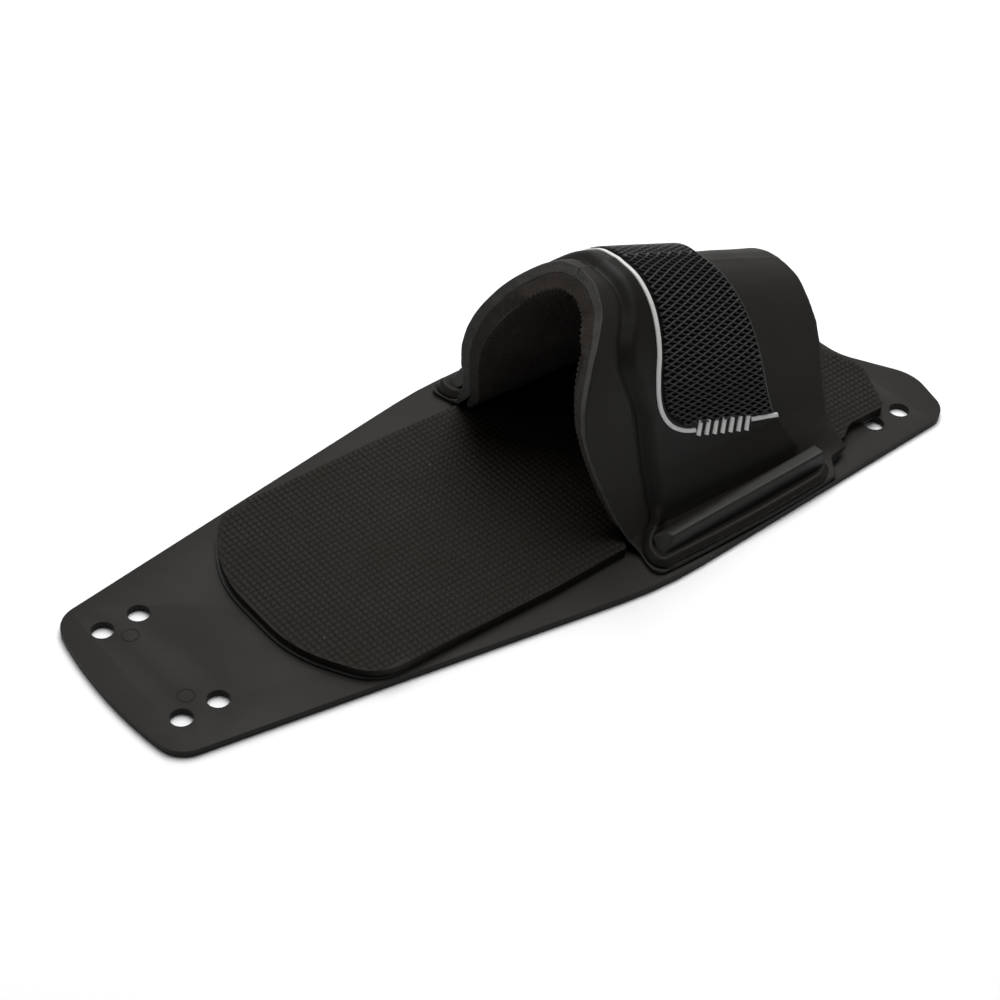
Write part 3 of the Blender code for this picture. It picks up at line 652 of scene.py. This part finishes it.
ACCENT_LOOK = moulded("accent_ink_look", (0.62, 0.62, 0.61), 0.45, 0.4, 0.1, 2000.0,
                      0.03, 90.0)
RAIL_LOOK = moulded("rail_nylon_look", (0.0195, 0.0185, 0.0172), 0.50, 0.22, 0.15, 1600.0,
                    0.10, 60.0, dust=0.25)
STEEL_LOOK = moulded("screw_steel_look", (0.45, 0.45, 0.46), 0.35, 0.5, 0.1, 900.0,
                     0.08, 200.0)
STEEL_LOOK.node_tree.nodes["Principled BSDF"].inputs["Metallic"].default_value = 1.0


# ---- flat pieces ----
def corner_arc(before, corner, after, radius, step_deg=5.0):
    """Points of the arc that rounds one corner of an outline."""
    centre = Vector(corner)
    back = (Vector(before) - centre).normalized()
    ahead = (Vector(after) - centre).normalized()
    half = 0.5 * back.angle(ahead)
    reach = radius / math.tan(half)
    hub = centre + (back + ahead).normalized() * (radius / math.sin(half))
    start = centre + back * reach - hub
    turn = start.angle_signed(centre + ahead * reach - hub)
    steps = max(3, math.ceil(abs(math.degrees(turn)) / step_deg))
    points = []
    for i in range(steps + 1):
        angle = -turn * i / steps
        c = math.cos(angle)
        s = math.sin(angle)
        points.append((hub.x + start.x * c - start.y * s, hub.y + start.x * s + start.y * c))
    return points


def rounded_half(start, corners, end):
    """Half an outline: start and end lie on the centre line, each corner has a radius."""
    nodes = [start] + [(x, y) for x, y, _ in corners] + [end]
    points = [start]
    for i, (x, y, radius) in enumerate(corners):
        points += corner_arc(nodes[i], (x, y), nodes[i + 2], radius)
    points.append(end)
    return points


def both_sides(half):
    return half + [(-x, y) for x, y in reversed(half) if x > 0.001]


def circle(x, y, radius, steps=56):
    turns = [2 * math.pi * i / steps for i in range(steps)]
    return [(x + radius * math.cos(a), y + radius * math.sin(a)) for a in turns]


def flat_object(name, outlines, bottom, thickness, material, round_top=0.0, round_bottom=0.0):
    """A flat piece: a filled outline with thickness and rounded rims."""
    curve = bpy.data.curves.new(name, "CURVE")
    curve.dimensions = "2D"
    curve.fill_mode = "BOTH"
    curve.extrude = 0.5 * thickness * MM
    for outline in outlines:
        spline = curve.splines.new("POLY")
        spline.points.add(len(outline) - 1)
        for point, (x, y) in zip(spline.points, outline):
            point.co = (x * MM, y * MM, 0.0, 1.0)
        spline.use_cyclic_u = True
    flat = bpy.data.objects.new(name + "_outline", curve)
    link(flat)
    bpy.context.view_layer.update()
    evaluated = flat.evaluated_get(bpy.context.evaluated_depsgraph_get())
    mesh = bpy.data.meshes.new_from_object(evaluated)
    bpy.data.objects.remove(flat, do_unlink=True)
    bpy.data.curves.remove(curve)
    mesh.name = name
    bm = bmesh.new()
    bm.from_mesh(mesh)
    bmesh.ops.remove_doubles(bm, verts=bm.verts, dist=0.001 * MM)
    bmesh.ops.recalc_face_normals(bm, faces=bm.faces)
    bmesh.ops.translate(bm, verts=bm.verts, vec=(0.0, 0.0, (bottom + 0.5 * thickness) * MM))
    for level, rounding, sign in ((bottom + thickness, round_top, 1), (bottom, round_bottom, -1)):
        if rounding <= 0.0:
            continue
        rim = []
        for edge in bm.edges:
            at = all(sign * (v.co.z - level * MM) > -1e-6 for v in edge.verts)
            if at and edge.calc_face_angle(0.0) > math.radians(60):
                rim.append(edge)
        round_edges(bm, rim, rounding)
    bm.to_mesh(mesh)
    bm.free()
    obj = bpy.data.objects.new(name, mesh)
    link(obj)
    obj.data.materials.clear()
    obj.data.materials.append(material)
    obj.data.shade_smooth()
    smooth_by_angle(obj, 30.0)
    return obj


def raised_ring(name, x, y, z, radius, thickness, tall, material, steps=48):
    """A low round rib lying on a flat face."""
    rings = []
    for k in range(steps + 1):
        a = 2 * math.pi * k / steps
        section = []
        for m in range(8):
            b = 2 * math.pi * m / 8
            r = radius + thickness * math.cos(b)
            section.append((x + r * math.cos(a), y + r * math.sin(a), z + tall * math.sin(b)))
        rings.append(section)
    return ring_body(name, np.array(rings), material)


def base_plate():
    rear = -0.5 * PLATE_LENGTH
    half = [(0.0, rear)]
    for x in PLATE_REAR_XS:
        half.append((x, rear + PLATE_REAR_ARC - math.sqrt(PLATE_REAR_ARC ** 2 - x * x)))
    half += rounded_half(half[-1], PLATE_CORNERS, (0.0, PLATE_NOTCH_Y))[1:]
    outlines = [both_sides(half)]
    for side in (-1, 1):
        for row in range(2):
            step = row * HOLE_PITCH
            outlines.append(circle(side * REAR_HOLE_X, REAR_HOLE_Y + step, HOLE_DIA / 2))
            outlines.append(circle(side * FRONT_HOLE_X, FRONT_HOLE_Y + step, HOLE_DIA / 2))
    plate = flat_object("plate_body", outlines, 0.0, PLATE_THICK, PLATE_LOOK, PLATE_TOP_ROUND,
                        PLATE_BOTTOM_ROUND)
    marks = [raised_ring("mark", side * EJECTOR_X, EJECTOR_Y, PLATE_THICK, EJECTOR_R,
                         EJECTOR_RIB_WIDE, EJECTOR_RIB_TALL, PLATE_LOOK) for side in (-1, 1)]
    return joined([plate] + marks, "plate_moulding")


def pad_outline(grow=0.0):
    corners = [(x, y - grow, r) for x, y, r in PAD_CORNERS[:2]] + PAD_CORNERS[2:]
    outline = both_sides(rounded_half((0.0, PAD_REAR - grow), corners, (0.0, PAD_FRONT)))
    return [(x + PAD_SHIFT, y) for x, y in outline]


def inside_by(points, outline):
    """Distance inside a closed outline, negative outside it, for an array of 2D points."""
    a = np.array(outline)
    b = np.roll(a, -1, axis=0)
    side = b - a
    offset = points[:, None, :] - a[None]
    along = np.clip((offset * side).sum(2) / (side ** 2).sum(1), 0.0, 1.0)
    gap = np.linalg.norm(offset - along[..., None] * side, axis=2).min(axis=1)
    px, py = points[:, 0][:, None], points[:, 1][:, None]
    crosses = (a[:, 1] > py) != (b[:, 1] > py)
    rise = np.where(np.abs(side[:, 1]) < 1e-9, 1e-9, side[:, 1])
    at = a[:, 0] + (py - a[:, 1]) / rise * side[:, 0]
    inside = (crosses & (px < at)).sum(axis=1) % 2 == 1
    return np.where(inside, gap, -gap)


def foot_pad():
    outline = pad_outline()
    body = flat_object("pad_body", [outline], PAD_BOTTOM, PAD_THICK - KNOB_TALL, PAD_LOOK,
                       PAD_ROUND)
    xs = np.arange(-KNOB_COLUMNS, KNOB_COLUMNS + 1) * KNOB_PITCH_X + PAD_SHIFT
    ys = np.arange(*KNOB_ROWS) * KNOB_PITCH_Y
    spots = np.array([(x, y) for x in xs for y in ys])
    spots = spots[inside_by(spots, outline) > KNOB_MARGIN]
    count = len(spots)
    spots = spots + rng.normal(0.0, KNOB_JITTER, (count, 2))
    centres = np.column_stack([spots, np.full(count, PAD_BOTTOM + PAD_THICK - KNOB_TALL)])
    worn = KNOB_TALL * (1.0 - KNOB_WEAR * rng.random(count))
    right = np.tile([1.0, 0.0, 0.0], (count, 1))
    ahead = np.tile([0.0, 1.0, 0.0], (count, 1))
    up = np.tile([0.0, 0.0, 1.0], (count, 1))
    points, faces = knobs(centres, right, ahead, up, 0.5 * KNOB_PITCH_X - KNOB_GAP,
                          0.5 * KNOB_PITCH_Y - KNOB_GAP, worn)
    field = make_object("pad_knobs", points, faces, PAD_LOOK)
    smooth_by_angle(field, 50.0)
    return joined([body, field], "foot_pad_foam")


# ---- soft layers ----
def section_ring():
    """Ring of (share of length, distance in from the mouth edge, from the front edge, depth)."""
    turns = [0.5 * math.pi * k / 4 for k in range(1, 4)]
    near = [EDGE_ROUND * (1 - math.sin(a)) for a in turns]
    far = [EDGE_ROUND * (1 - math.cos(a)) for a in turns]
    drop = [(1.0 - 2 * EDGE_ROUND) * k / 5 for k in range(6)]
    tops = np.concatenate([np.linspace(0.0, 0.32, 72), np.linspace(0.32, 1.0, 44)[1:]])
    ring = [(along, EDGE_ROUND, EDGE_ROUND, 0.0) for along in tops]
    ring += [(1.0, 0.0, inward, depth) for inward, depth in zip(near, far)]
    ring += [(1.0, 0.0, 0.0, EDGE_ROUND + depth) for depth in drop]
    ring += [(1.0, 0.0, inward, 1.0 - depth) for inward, depth in zip(far, near)]
    ring += [(1.0 - i / 25, EDGE_ROUND, EDGE_ROUND, 1.0) for i in range(26)]
    ring += [(0.0, inward, 0.0, 1.0 - depth) for inward, depth in zip(near, far)]
    ring += [(0.0, 0.0, 0.0, 1.0 - EDGE_ROUND - depth) for depth in drop]
    ring += [(0.0, inward, 0.0, depth) for inward, depth in zip(far, near)]
    return np.array(ring)


def slant(q):
    return MOUTH_SLANT + (WALL_SLANT - MOUTH_SLANT) * smooth_step(np.abs(q), *SLANT_TURN)


def layer(name, shares, reach_mouth, reach_front, top, depth_of, tip, serration, looks):
    """One foam layer of the loop: top is its outer face's lift, depth_of its thickness over q.

    tip is the share of the girth over which its long edges round off; serration is how far
    the cut texture stands out along the inner edge of the mouth.
    """
    outermost = top == 0.0
    ring = section_ring()
    along = ring[:, 0]
    is_start = np.isclose(along, 0.0)
    is_end = np.isclose(along, 1.0)
    local = np.where(is_start, ring[:, 1] / LOOP_RUN,
                     np.where(is_end, 1.0 - ring[:, 2] / LOOP_RUN, along))
    margin = EDGE_ROUND / LOOP_RUN * (~is_start & ~is_end)
    local = np.clip(local, margin, 1.0 - margin)[None, :]
    share = np.sort(np.concatenate([shares, SEAM_SHARES]))[:, None]
    reach = reach_mouth + (reach_front - reach_mouth) * local
    if outermost:
        reach = reach - FRONT_FLANGE_CUT * smooth_step(local, *FRONT_CUT_TURN)
    q = share * reach
    thick = depth_of(q)
    tooth = np.clip(0.5 + 0.9 * np.cos(2 * math.pi * q * girth(0.0) / KNOB_PITCH_X), 0.0, 1.0)
    tooth *= serration * smooth_step(2.0 - local * LOOP_RUN, 0.0, 1.0)
    rounding = np.clip((np.abs(share) - 1.0 + tip) / tip, 0.0, 0.99)
    rounding = np.sqrt(1.0 - rounding ** 2)
    lift = top - thick * (0.5 + (ring[None, :, 3] - 0.5) * rounding)
    lift -= tooth * ring[None, :, 3] * rounding
    outward = np.abs(share) * reach_mouth + 0.0 * local
    inset = np.clip(1.0 - (1.0 - outward) / FLANGE_CORNER_SHARE, 0.0, 1.0)
    corner = FLANGE_CORNER * (1.0 - np.sqrt(1.0 - inset ** 2))
    seam = SEAM_DEEP * np.exp(-(q / SEAM_WIDE) ** 2)
    start = (corner + slant(q) * lift + seam - left_shift(q)) / LOOP_RUN
    t = start + (1.0 - start) * local
    flat = on_face(t, q, lift).reshape(-1, 3)
    near = CUT_EDGE_REACH / LOOP_RUN
    edge = (smooth_step(near - local, 0.0, 0.5 / LOOP_RUN)
            - smooth_step(local - 1 + near, 0.0, 0.5 / LOOP_RUN))
    nibble = (0.5 + 0.5 * wave_noise(flat, 7.0, 21, 4)).reshape(t.shape)
    t += edge * nibble * CUT_EDGE_WEAR / LOOP_RUN
    lift += SURFACE_WAVE * wave_noise(flat, 26.0, 22, 2).reshape(t.shape)
    if outermost:
        lift -= valley(q, flat[:, 1].reshape(t.shape)) * (1.0 - ring[None, :, 3])
    points = on_face(t, q, lift)
    obj = ring_body(name, points, looks[0])
    obj.data.materials.append(looks[1])
    obj.data.materials.append(EDGE_HIGHLIGHT_LOOK)
    size = points.shape[1]
    # ring points of the rounded outer corner at the mouth edge, which get the painted highlight
    # colour
    is_highlight_rim = np.zeros(size, bool)
    is_highlight_rim[[0, -1, -2, -3]] = True
    is_cut = np.isclose(ring[:, 0], 0.0) & (ring[:, 1] < 0.1)
    is_cut |= np.isclose(ring[:, 0], 1.0) & (ring[:, 2] < 0.1)
    for polygon in obj.data.polygons:
        if len(polygon.vertices) > 4:
            polygon.material_index = 1
        elif all(is_cut[v % size] for v in polygon.vertices):
            polygon.material_index = 1
        # on the outer liner, faces of that rounded corner take the painted highlight colour
        elif all(is_highlight_rim[v % size] for v in polygon.vertices) and outermost:
            polygon.material_index = 2
    smooth_by_angle(obj, 42.0)
    return obj


def outer_depth(q):
    return OUTER_LINER_THICK + (FLANGE_THICK - OUTER_LINER_THICK) * flange_blend(q)


def inner_depth(q):
    """The liner thins to a rounded tip where it meets the pad."""
    full = INNER_LINER_THICK - INNER_KNOB_TALL
    full = full - INNER_WALL_THINNING * smooth_step(np.abs(q), *INNER_WALL_TURN)
    return full - INNER_TIP_THINNING * smooth_step(np.abs(q), *INNER_TIP_TURN)


def loop_shares():
    roof = np.linspace(0.0, 0.72, 110)
    low = np.linspace(0.72, 0.955, 56)[1:]
    tip = 0.955 + 0.045 * np.sin(np.linspace(0.0, 0.5 * math.pi, 26))[1:]
    half = np.concatenate([roof, low, tip])
    return np.concatenate([-half[:0:-1], half])


def outer_liner():
    return layer("liner_outer_neoprene", loop_shares(), 1.0, 1.0, 0.0, outer_depth, OUTER_TIP,
                 0.0, (OUTER_LOOK, CUT_LOOK))


def mouth_start(q):
    """Station where the inner liner's inner face starts."""
    return slant(q) * -(OUTER_LINER_THICK + inner_depth(q)) / LOOP_RUN


def inner_liner():
    top = -(OUTER_LINER_THICK + LINER_GAP)
    half = np.concatenate([np.linspace(0.0, 0.972, 262), INNER_TIP_SHARES])
    shares = np.concatenate([-half[:0:-1], half])
    body = layer("inner_body", shares, INNER_REACH_MOUTH, INNER_REACH_FRONT, top, inner_depth,
                 INNER_TIP, INNER_SERRATION, (INNER_LOOK, INNER_CUT_LOOK))
    runs = np.arange(-50, 51) * KNOB_PITCH_X
    ys = np.arange(-2, 56) * KNOB_PITCH_Y
    run, y = np.meshgrid(runs, ys)
    run, y = run.ravel(), y.ravel()
    t, q = station_at_run(run, y)
    reach = INNER_REACH_MOUTH + (INNER_REACH_FRONT - INNER_REACH_MOUTH) * t
    good = (t > mouth_start(q) + 2.1 / LOOP_RUN) & (t < 0.996) & (np.abs(q) < reach - 0.02)
    good &= np.abs(sample(FACE, t, q)[:, 1] - y) < 0.05
    edge_q = runs / girth(0.0)
    edge_q = edge_q[np.abs(edge_q) < INNER_REACH_MOUTH - 0.02]
    t = np.concatenate([t[good], mouth_start(edge_q) + 0.98 / LOOP_RUN])
    q = np.concatenate([q[good], edge_q])
    lift = top - inner_depth(q)
    centres = on_face(t, q, lift)
    up = -sample(NORMALS, t, q)
    up /= np.linalg.norm(up, axis=1, keepdims=True)
    ahead = np.tile([0.0, 1.0, 0.0], (len(t), 1))
    ahead -= up * (ahead * up).sum(1, keepdims=True)
    ahead /= np.linalg.norm(ahead, axis=1, keepdims=True)
    right = np.cross(ahead, up)
    points, faces = knobs(centres, right, ahead, up, 0.5 * KNOB_PITCH_X - INNER_KNOB_GAP_X,
                          0.5 * KNOB_PITCH_Y - INNER_KNOB_GAP_Y,
                          np.full(len(t), INNER_KNOB_TALL))
    field = make_object("inner_knobs", points, faces, INNER_LOOK)
    smooth_by_angle(field, 50.0)
    return joined([body, field], "liner_inner_foam")


def overlay_edges(q):
    across = np.abs(q)
    return curve_value(OVERLAY_REAR, across) - left_shift(q), curve_value(OVERLAY_FRONT, across)


def near_line(points, line):
    """Distance of each point from the nearest point of a dense line."""
    out = np.empty(len(points))
    for start in range(0, len(points), 2000):
        chunk = points[start:start + 2000]
        gaps = np.linalg.norm(chunk[:, None, :] - line[None], axis=2)
        out[start:start + 2000] = gaps.min(axis=1)
    return out


def overlay_height(d_rim, d_front, q):
    """Lift of the overlay's top: a round rim, a shallow dip inside it, then the plain field."""
    field = GAP + OVERLAY_THICK + (OVERLAY_FLANGE_THICK - OVERLAY_THICK) * flange_blend(q)
    flat = flange_blend(q)
    soft = OVERLAY_EDGE_LIFT + (field - OVERLAY_EDGE_LIFT) * smooth_step(d_rim, *OVERLAY_SLOPE)
    bead = field + BEAD_TALL * np.exp(-((d_rim - BEAD_FROM_EDGE) / BEAD_WIDE) ** 2)
    bead -= DIP_DEEP * smooth_step(d_rim, *DIP_TURN)
    u = np.clip(d_rim / BEAD_WIDE, 0.0, 1.0)
    bead *= 0.12 + 0.88 * np.sqrt(1.0 - (1.0 - u) ** 2)
    top = soft + (bead - soft) * smooth_step(flat, 0.15, 0.9)
    cut = np.clip(d_front / OVERLAY_FRONT_ROUND, 0.0, 1.0)
    return top * (0.55 + 0.45 * np.sqrt(1.0 - (1.0 - cut) ** 2))


def overlay():
    roof = np.linspace(0.0, 0.72, 110)
    low = np.linspace(0.72, OVERLAY_REACH - 0.008, 74)[1:]
    edge = np.linspace(OVERLAY_REACH - 0.008, OVERLAY_REACH, 8)[1:]
    half = np.concatenate([roof, low, edge])
    qs = np.concatenate([-half[:0:-1], half])
    rim = np.array([0.0, 0.0025, 0.006, 0.011, 0.018, 0.027, 0.038, 0.052, 0.07, 0.09])
    vs = np.concatenate([rim, np.linspace(0.11, 0.96, 46), [0.975, 0.985, 0.992, 0.997, 1.0]])
    rear, front = overlay_edges(qs)
    q = np.tile(qs, (len(vs), 1))
    y = rear[None] + (front - rear)[None] * vs[:, None]
    t = station_at(q, y)
    base = on_face(t, q, GAP)
    flat = base.reshape(-1, 3)
    fine_q = np.linspace(-OVERLAY_REACH, OVERLAY_REACH, 900)
    fine_rear, fine_front = overlay_edges(fine_q)
    rear_line = on_face(station_at(fine_q, fine_rear), fine_q, GAP)
    front_line = on_face(station_at(fine_q, fine_front), fine_q, GAP)
    low_front = np.abs(fine_q) > OVERLAY_RIM_FROM
    side_line = []
    for sign in (-1, 1):
        edge_y = np.linspace(*overlay_edges(np.array([sign * OVERLAY_REACH])), 120).ravel()
        edge_q = np.full(len(edge_y), sign * OVERLAY_REACH)
        side_line.append(on_face(station_at(edge_q, edge_y), edge_q, GAP))
    round_line = np.concatenate([rear_line, front_line[low_front]] + side_line)
    d_rim = near_line(flat, round_line)
    d_front = near_line(flat, front_line[~low_front])
    lift = overlay_height(d_rim, d_front, q.ravel()).reshape(q.shape)
    wave = OVERLAY_WAVE * (1 + wave_noise(flat * np.array([0.0, 1.0, 0.0]), 42.0, 5, 1))
    rise = (wave * smooth_step(np.abs(q.ravel()), 0.945, 0.992)).reshape(q.shape)
    sunk = valley(q, y)
    upper = on_face(t, q, lift + rise - sunk)
    lower = on_face(t, q, 0.06 + 0.9 * rise - sunk)
    return shell("overlay_rubber_moulding", upper, lower, OVERLAY_LOOK)


# ---- pieces laid on the overlay ----
def ribbon(path, section):
    """Rings of a bar that follows a path of (run, y) over the loop; section is (aside, lift)."""
    path = np.asarray(path, float)
    ahead = np.gradient(path, axis=0)
    ahead /= np.linalg.norm(ahead, axis=1, keepdims=True)
    aside = np.column_stack([-ahead[:, 1], ahead[:, 0]])
    section = np.asarray(section, float)
    spots = path[:, None, :] + aside[:, None, :] * section[None, :, :1]
    t, q = station_at_run(spots[..., 0], spots[..., 1])
    return on_face(t, q, np.broadcast_to(section[:, 1], t.shape))


def bars(name, paths, section, material, sharp=40.0):
    """Several ribbons as one piece."""
    points = []
    faces = []
    start = 0
    for path in paths:
        rings = ribbon(path, section)
        count, size = rings.shape[:2]
        faces += ring_faces(count, size, start)
        points.append(rings.reshape(-1, 3))
        start += count * size
    obj = make_object(name, np.concatenate(points), faces, material)
    fix_normals(obj)
    smooth_by_angle(obj, sharp)
    return obj


def strip_line():
    half = smooth_path(STRIP_PATH, STRIP_POINTS)
    return np.concatenate([half, (half * np.array([-1.0, 1.0]))[-2::-1]])


def rounded_section(width, low, high, corner=0.28):
    w = 0.5 * width
    return [(-w, low), (-w, high - corner), (-w + 0.3 * corner, high - 0.3 * corner),
            (-w + corner, high), (w - corner, high), (w - 0.3 * corner, high - 0.3 * corner),
            (w, high - corner), (w, low)]


def accent_strip():
    """The strip stops at both ends of a plain row of slanted bars on each side."""
    section = rounded_section(STRIP_WIDTH, FIELD - SUNK, FIELD + STRIP_TALL)
    line = strip_line()
    run, y = line.T
    among_bars = (np.abs(run) > BAR_ZONE_RUN) & (y > BAR_ZONE_Y[0]) & (y < BAR_ZONE_Y[1])
    paths = [line[a:b] for a, b in inner_runs(~among_bars)]
    for side in (-1, 1):
        for k in range(TICKS):
            y = TICK_FIRST_Y + k * TICK_PITCH
            low = (side * (TICK_RUN - 0.5 * TICK_LONG), y + TICK_SLANT)
            high = (side * (TICK_RUN + 0.5 * TICK_LONG), y - TICK_SLANT)
            paths.append(np.linspace(low, high, 12))
    return bars("accent_strip_raised", paths, section, ACCENT_LOOK)


def panel_limits(run, y):
    """Distance inside the panel's rear, front and side edges."""
    across = np.abs(run)
    rear = curve_value(PANEL_REAR, across)
    front = curve_value(OVERLAY_FRONT, across / PANEL_GIRTH) - PANEL_FRONT_INSET
    v = (y - rear) / (front - rear)
    side = PANEL_REAR[-1][0] * (1.0 + PANEL_TAPER * (0.5 - v))
    return y - rear, front - y, side - across


def inner_runs(mask):
    """Start and end of each unbroken stretch of True values."""
    edges = np.flatnonzero(np.diff(np.concatenate([[0], mask.astype(int), [0]])))
    return list(zip(edges[::2], edges[1::2]))


def grip_lattice():
    foot = FIELD - STRAND_SINK
    half = [(wide, STRAND_TOP - below) for wide, below in STRAND_HALF]
    section = [(-STRAND_FOOT, foot)] + [(-wide, lift) for wide, lift in half]
    section += [(0.0, STRAND_TOP)] + half[::-1] + [(STRAND_FOOT, foot)]
    paths = []
    run = np.arange(-LATTICE_RUN, LATTICE_RUN, LATTICE_STEP)
    for way in (-1, 1):
        for line in range(*LATTICE_LINES):
            y = (line - way * LATTICE_ACROSS * run) / LATTICE_ALONG
            mask = np.minimum.reduce(panel_limits(run, y)) > 0.05
            for a, b in inner_runs(mask):
                if b - a > 3:
                    paths.append(np.column_stack([run[a:b], y[a:b]]))
    return bars("grip_panel_lattice", paths, section, GRIP_LOOK, 70.0)


def grip_floor():
    reach = PANEL_REAR[-1][0]
    runs = np.linspace(-reach, reach, 161)
    vs = np.linspace(0.0, 1.0, 41)
    run = np.tile(runs, (len(vs), 1))
    rear = curve_value(PANEL_REAR, np.abs(runs))
    front = curve_value(OVERLAY_FRONT, np.abs(runs) / PANEL_GIRTH) - PANEL_FRONT_INSET
    y = rear[None] + (front - rear)[None] * vs[:, None]
    run = run * (1.0 + PANEL_TAPER * (0.5 - vs[:, None]))
    t, q = station_at_run(run, y)
    # the floor sheet under the lattice carries the painted shade of the pits
    floor = shell("grip_panel_floor", on_face(t, q, FIELD + PIT_LIFT), on_face(t, q, FIELD - SUNK),
                  PIT_SHADE_LOOK)
    edge = np.linspace(-reach * 0.985, reach * 0.985, 240)
    edge_y = curve_value(OVERLAY_FRONT, np.abs(edge) / PANEL_GIRTH) - PANEL_FRONT_INSET + 0.25
    rim = bars("grip_rim", [np.column_stack([edge, edge_y])],
               rounded_section(0.7, FIELD - SUNK, STRAND_TOP - 0.25, 0.2), GRIP_LOOK)
    return floor, rim


# ---- rails ----
def rail(name, side):
    """Tapered bar: its section runs from outer foot over the ridge to the inner foot."""
    shift = LEFT_RAIL_SHIFT if side < 0 else 0.0
    low = RAIL_BOTTOM - RAIL_SINK
    top = RAIL_BOTTOM + RAIL_HEIGHT
    places = ((RAIL_REAR + shift, RAIL_CHAMFER), (RAIL_FRONT + shift, 0.0))
    rings = []
    for (y, chamfer), outer, inner, foot, lean in zip(places, RAIL_OUTER_X, RAIL_INNER_X,
                                                      RAIL_FOOT_X, RAIL_LEAN):
        rings.append([
            (side * outer, y, low),
            (side * (outer - RAIL_DRAFT), y + chamfer, top),
            (side * (inner + lean), y + chamfer, top - RAIL_TOP_TILT),
            (side * inner, y, RAIL_BOTTOM + RAIL_EDGE_LIFT),
            (side * foot, y, low),
        ])
    obj = ring_body(name, np.array(rings), RAIL_LOOK)
    bm = bmesh.new()
    bm.from_mesh(obj.data)
    front = (RAIL_FRONT + shift) * MM
    for offset, at_front in ((RAIL_END_ROUND, True), (RAIL_ROUND, False)):
        rim = []
        for edge in bm.edges:
            high = max(v.co.z for v in edge.verts) > (RAIL_BOTTOM + 0.5) * MM
            is_end = min(v.co.y for v in edge.verts) > front - 2.0 * RAIL_END_ROUND * MM
            if high and is_end == at_front and edge.calc_face_angle(0.0) > math.radians(20.0):
                rim.append(edge)
        round_edges(bm, rim, offset)
    bm.to_mesh(obj.data)
    bm.free()
    smooth_by_angle(obj, 30.0)
    return obj


# ---- assembly ----
def place(piece, node):
    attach(piece, "root")
    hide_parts(node)


def main():
    place(base_plate(), "base_plate")
    backing = flat_object("pad_backing_film", [pad_outline(BACKING_GROW)], PLATE_THICK,
                          BACKING_THICK, BACKING_LOOK, BACKING_TOP_ROUND, BACKING_BOTTOM_ROUND)
    place(backing, "pad_backing")
    pad = foot_pad()
    place(pad, "foot_pad")
    outer = outer_liner()
    place(outer, "liner_outer")
    inner = inner_liner()
    place(inner, "liner_inner")
    place(overlay(), "overlay")
    place(accent_strip(), "accent_strip")
    floor, rim = grip_floor()
    for piece in (grip_lattice(), floor, rim):
        place(piece, "grip_panel")
    place(rail("rail_left_bar", -1), "rail_left")
    place(rail("rail_right_bar", 1), "rail_right")
    for name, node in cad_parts.items():
        if name.startswith("rail_screw"):
            node.data.materials.clear()
            node.data.materials.append(STEEL_LOOK)


# ---- stage ----
def stage():
    mesh = bpy.data.meshes.new("studio_floor")
    corners = [(x * FLOOR_HALF, y * FLOOR_HALF, 0.0)
               for x, y in ((-1, -1), (1, -1), (1, 1), (-1, 1))]
    mesh.from_pydata(corners, [], [(0, 1, 2, 3)])
    ground = bpy.data.objects.new("studio_floor", mesh)
    ground.location.z = -FLOOR_DROP
    link(ground)
    pale = bpy.data.materials.new("studio_floor_look")
    pale.use_nodes = True
    shader = pale.node_tree.nodes["Principled BSDF"]
    shader.inputs["Base Color"].default_value = (FLOOR_TONE, FLOOR_TONE, FLOOR_TONE, 1.0)
    shader.inputs["Roughness"].default_value = 0.9
    shader.inputs["Specular IOR Level"].default_value = 0.1
    mesh.materials.append(pale)
    world = bpy.data.worlds.new("studio")
    bpy.context.scene.world = world
    world.use_nodes = True
    sky = world.node_tree.nodes["Background"]
    sky.inputs["Color"].default_value = (1.0, 1.0, 1.0, 1.0)
    sky.inputs["Strength"].default_value = SKY_STRENGTH
    for name, spot, aim, width, power in LAMPS:
        light = bpy.data.lights.new(name, "AREA")
        light.shape = "SQUARE"
        light.size = width
        light.energy = power
        lamp = bpy.data.objects.new(name, light)
        lamp.location = spot
        way = Vector(aim) - Vector(spot)
        lamp.rotation_euler = way.to_track_quat("-Z", "Y").to_euler()
        link(lamp)


def camera():
    azimuth, elevation, roll = (math.radians(v) for v in
                                (CAMERA_AZIMUTH, CAMERA_ELEVATION, CAMERA_ROLL))
    back = Vector((math.sin(azimuth) * math.cos(elevation),
                   -math.cos(azimuth) * math.cos(elevation), math.sin(elevation)))
    right = (-back).cross(Vector((0.0, 0.0, 1.0))).normalized()
    up = right.cross(-back)
    side = right * math.cos(roll) + up * math.sin(roll)
    top = up * math.cos(roll) - right * math.sin(roll)
    data = bpy.data.cameras.new("photo_camera")
    data.sensor_width = 36.0
    data.lens = CAMERA_LENS
    obj = bpy.data.objects.new("photo_camera", data)
    link(obj)
    turn = Matrix((side, top, back)).transposed().to_4x4()
    turn.translation = (Vector(CAMERA_TARGET) + back * CAMERA_DISTANCE) * MM
    obj.matrix_world = turn
    bpy.context.scene.camera = obj


main()
stage()
camera()
bpy.context.scene.view_settings.view_transform = "Standard"
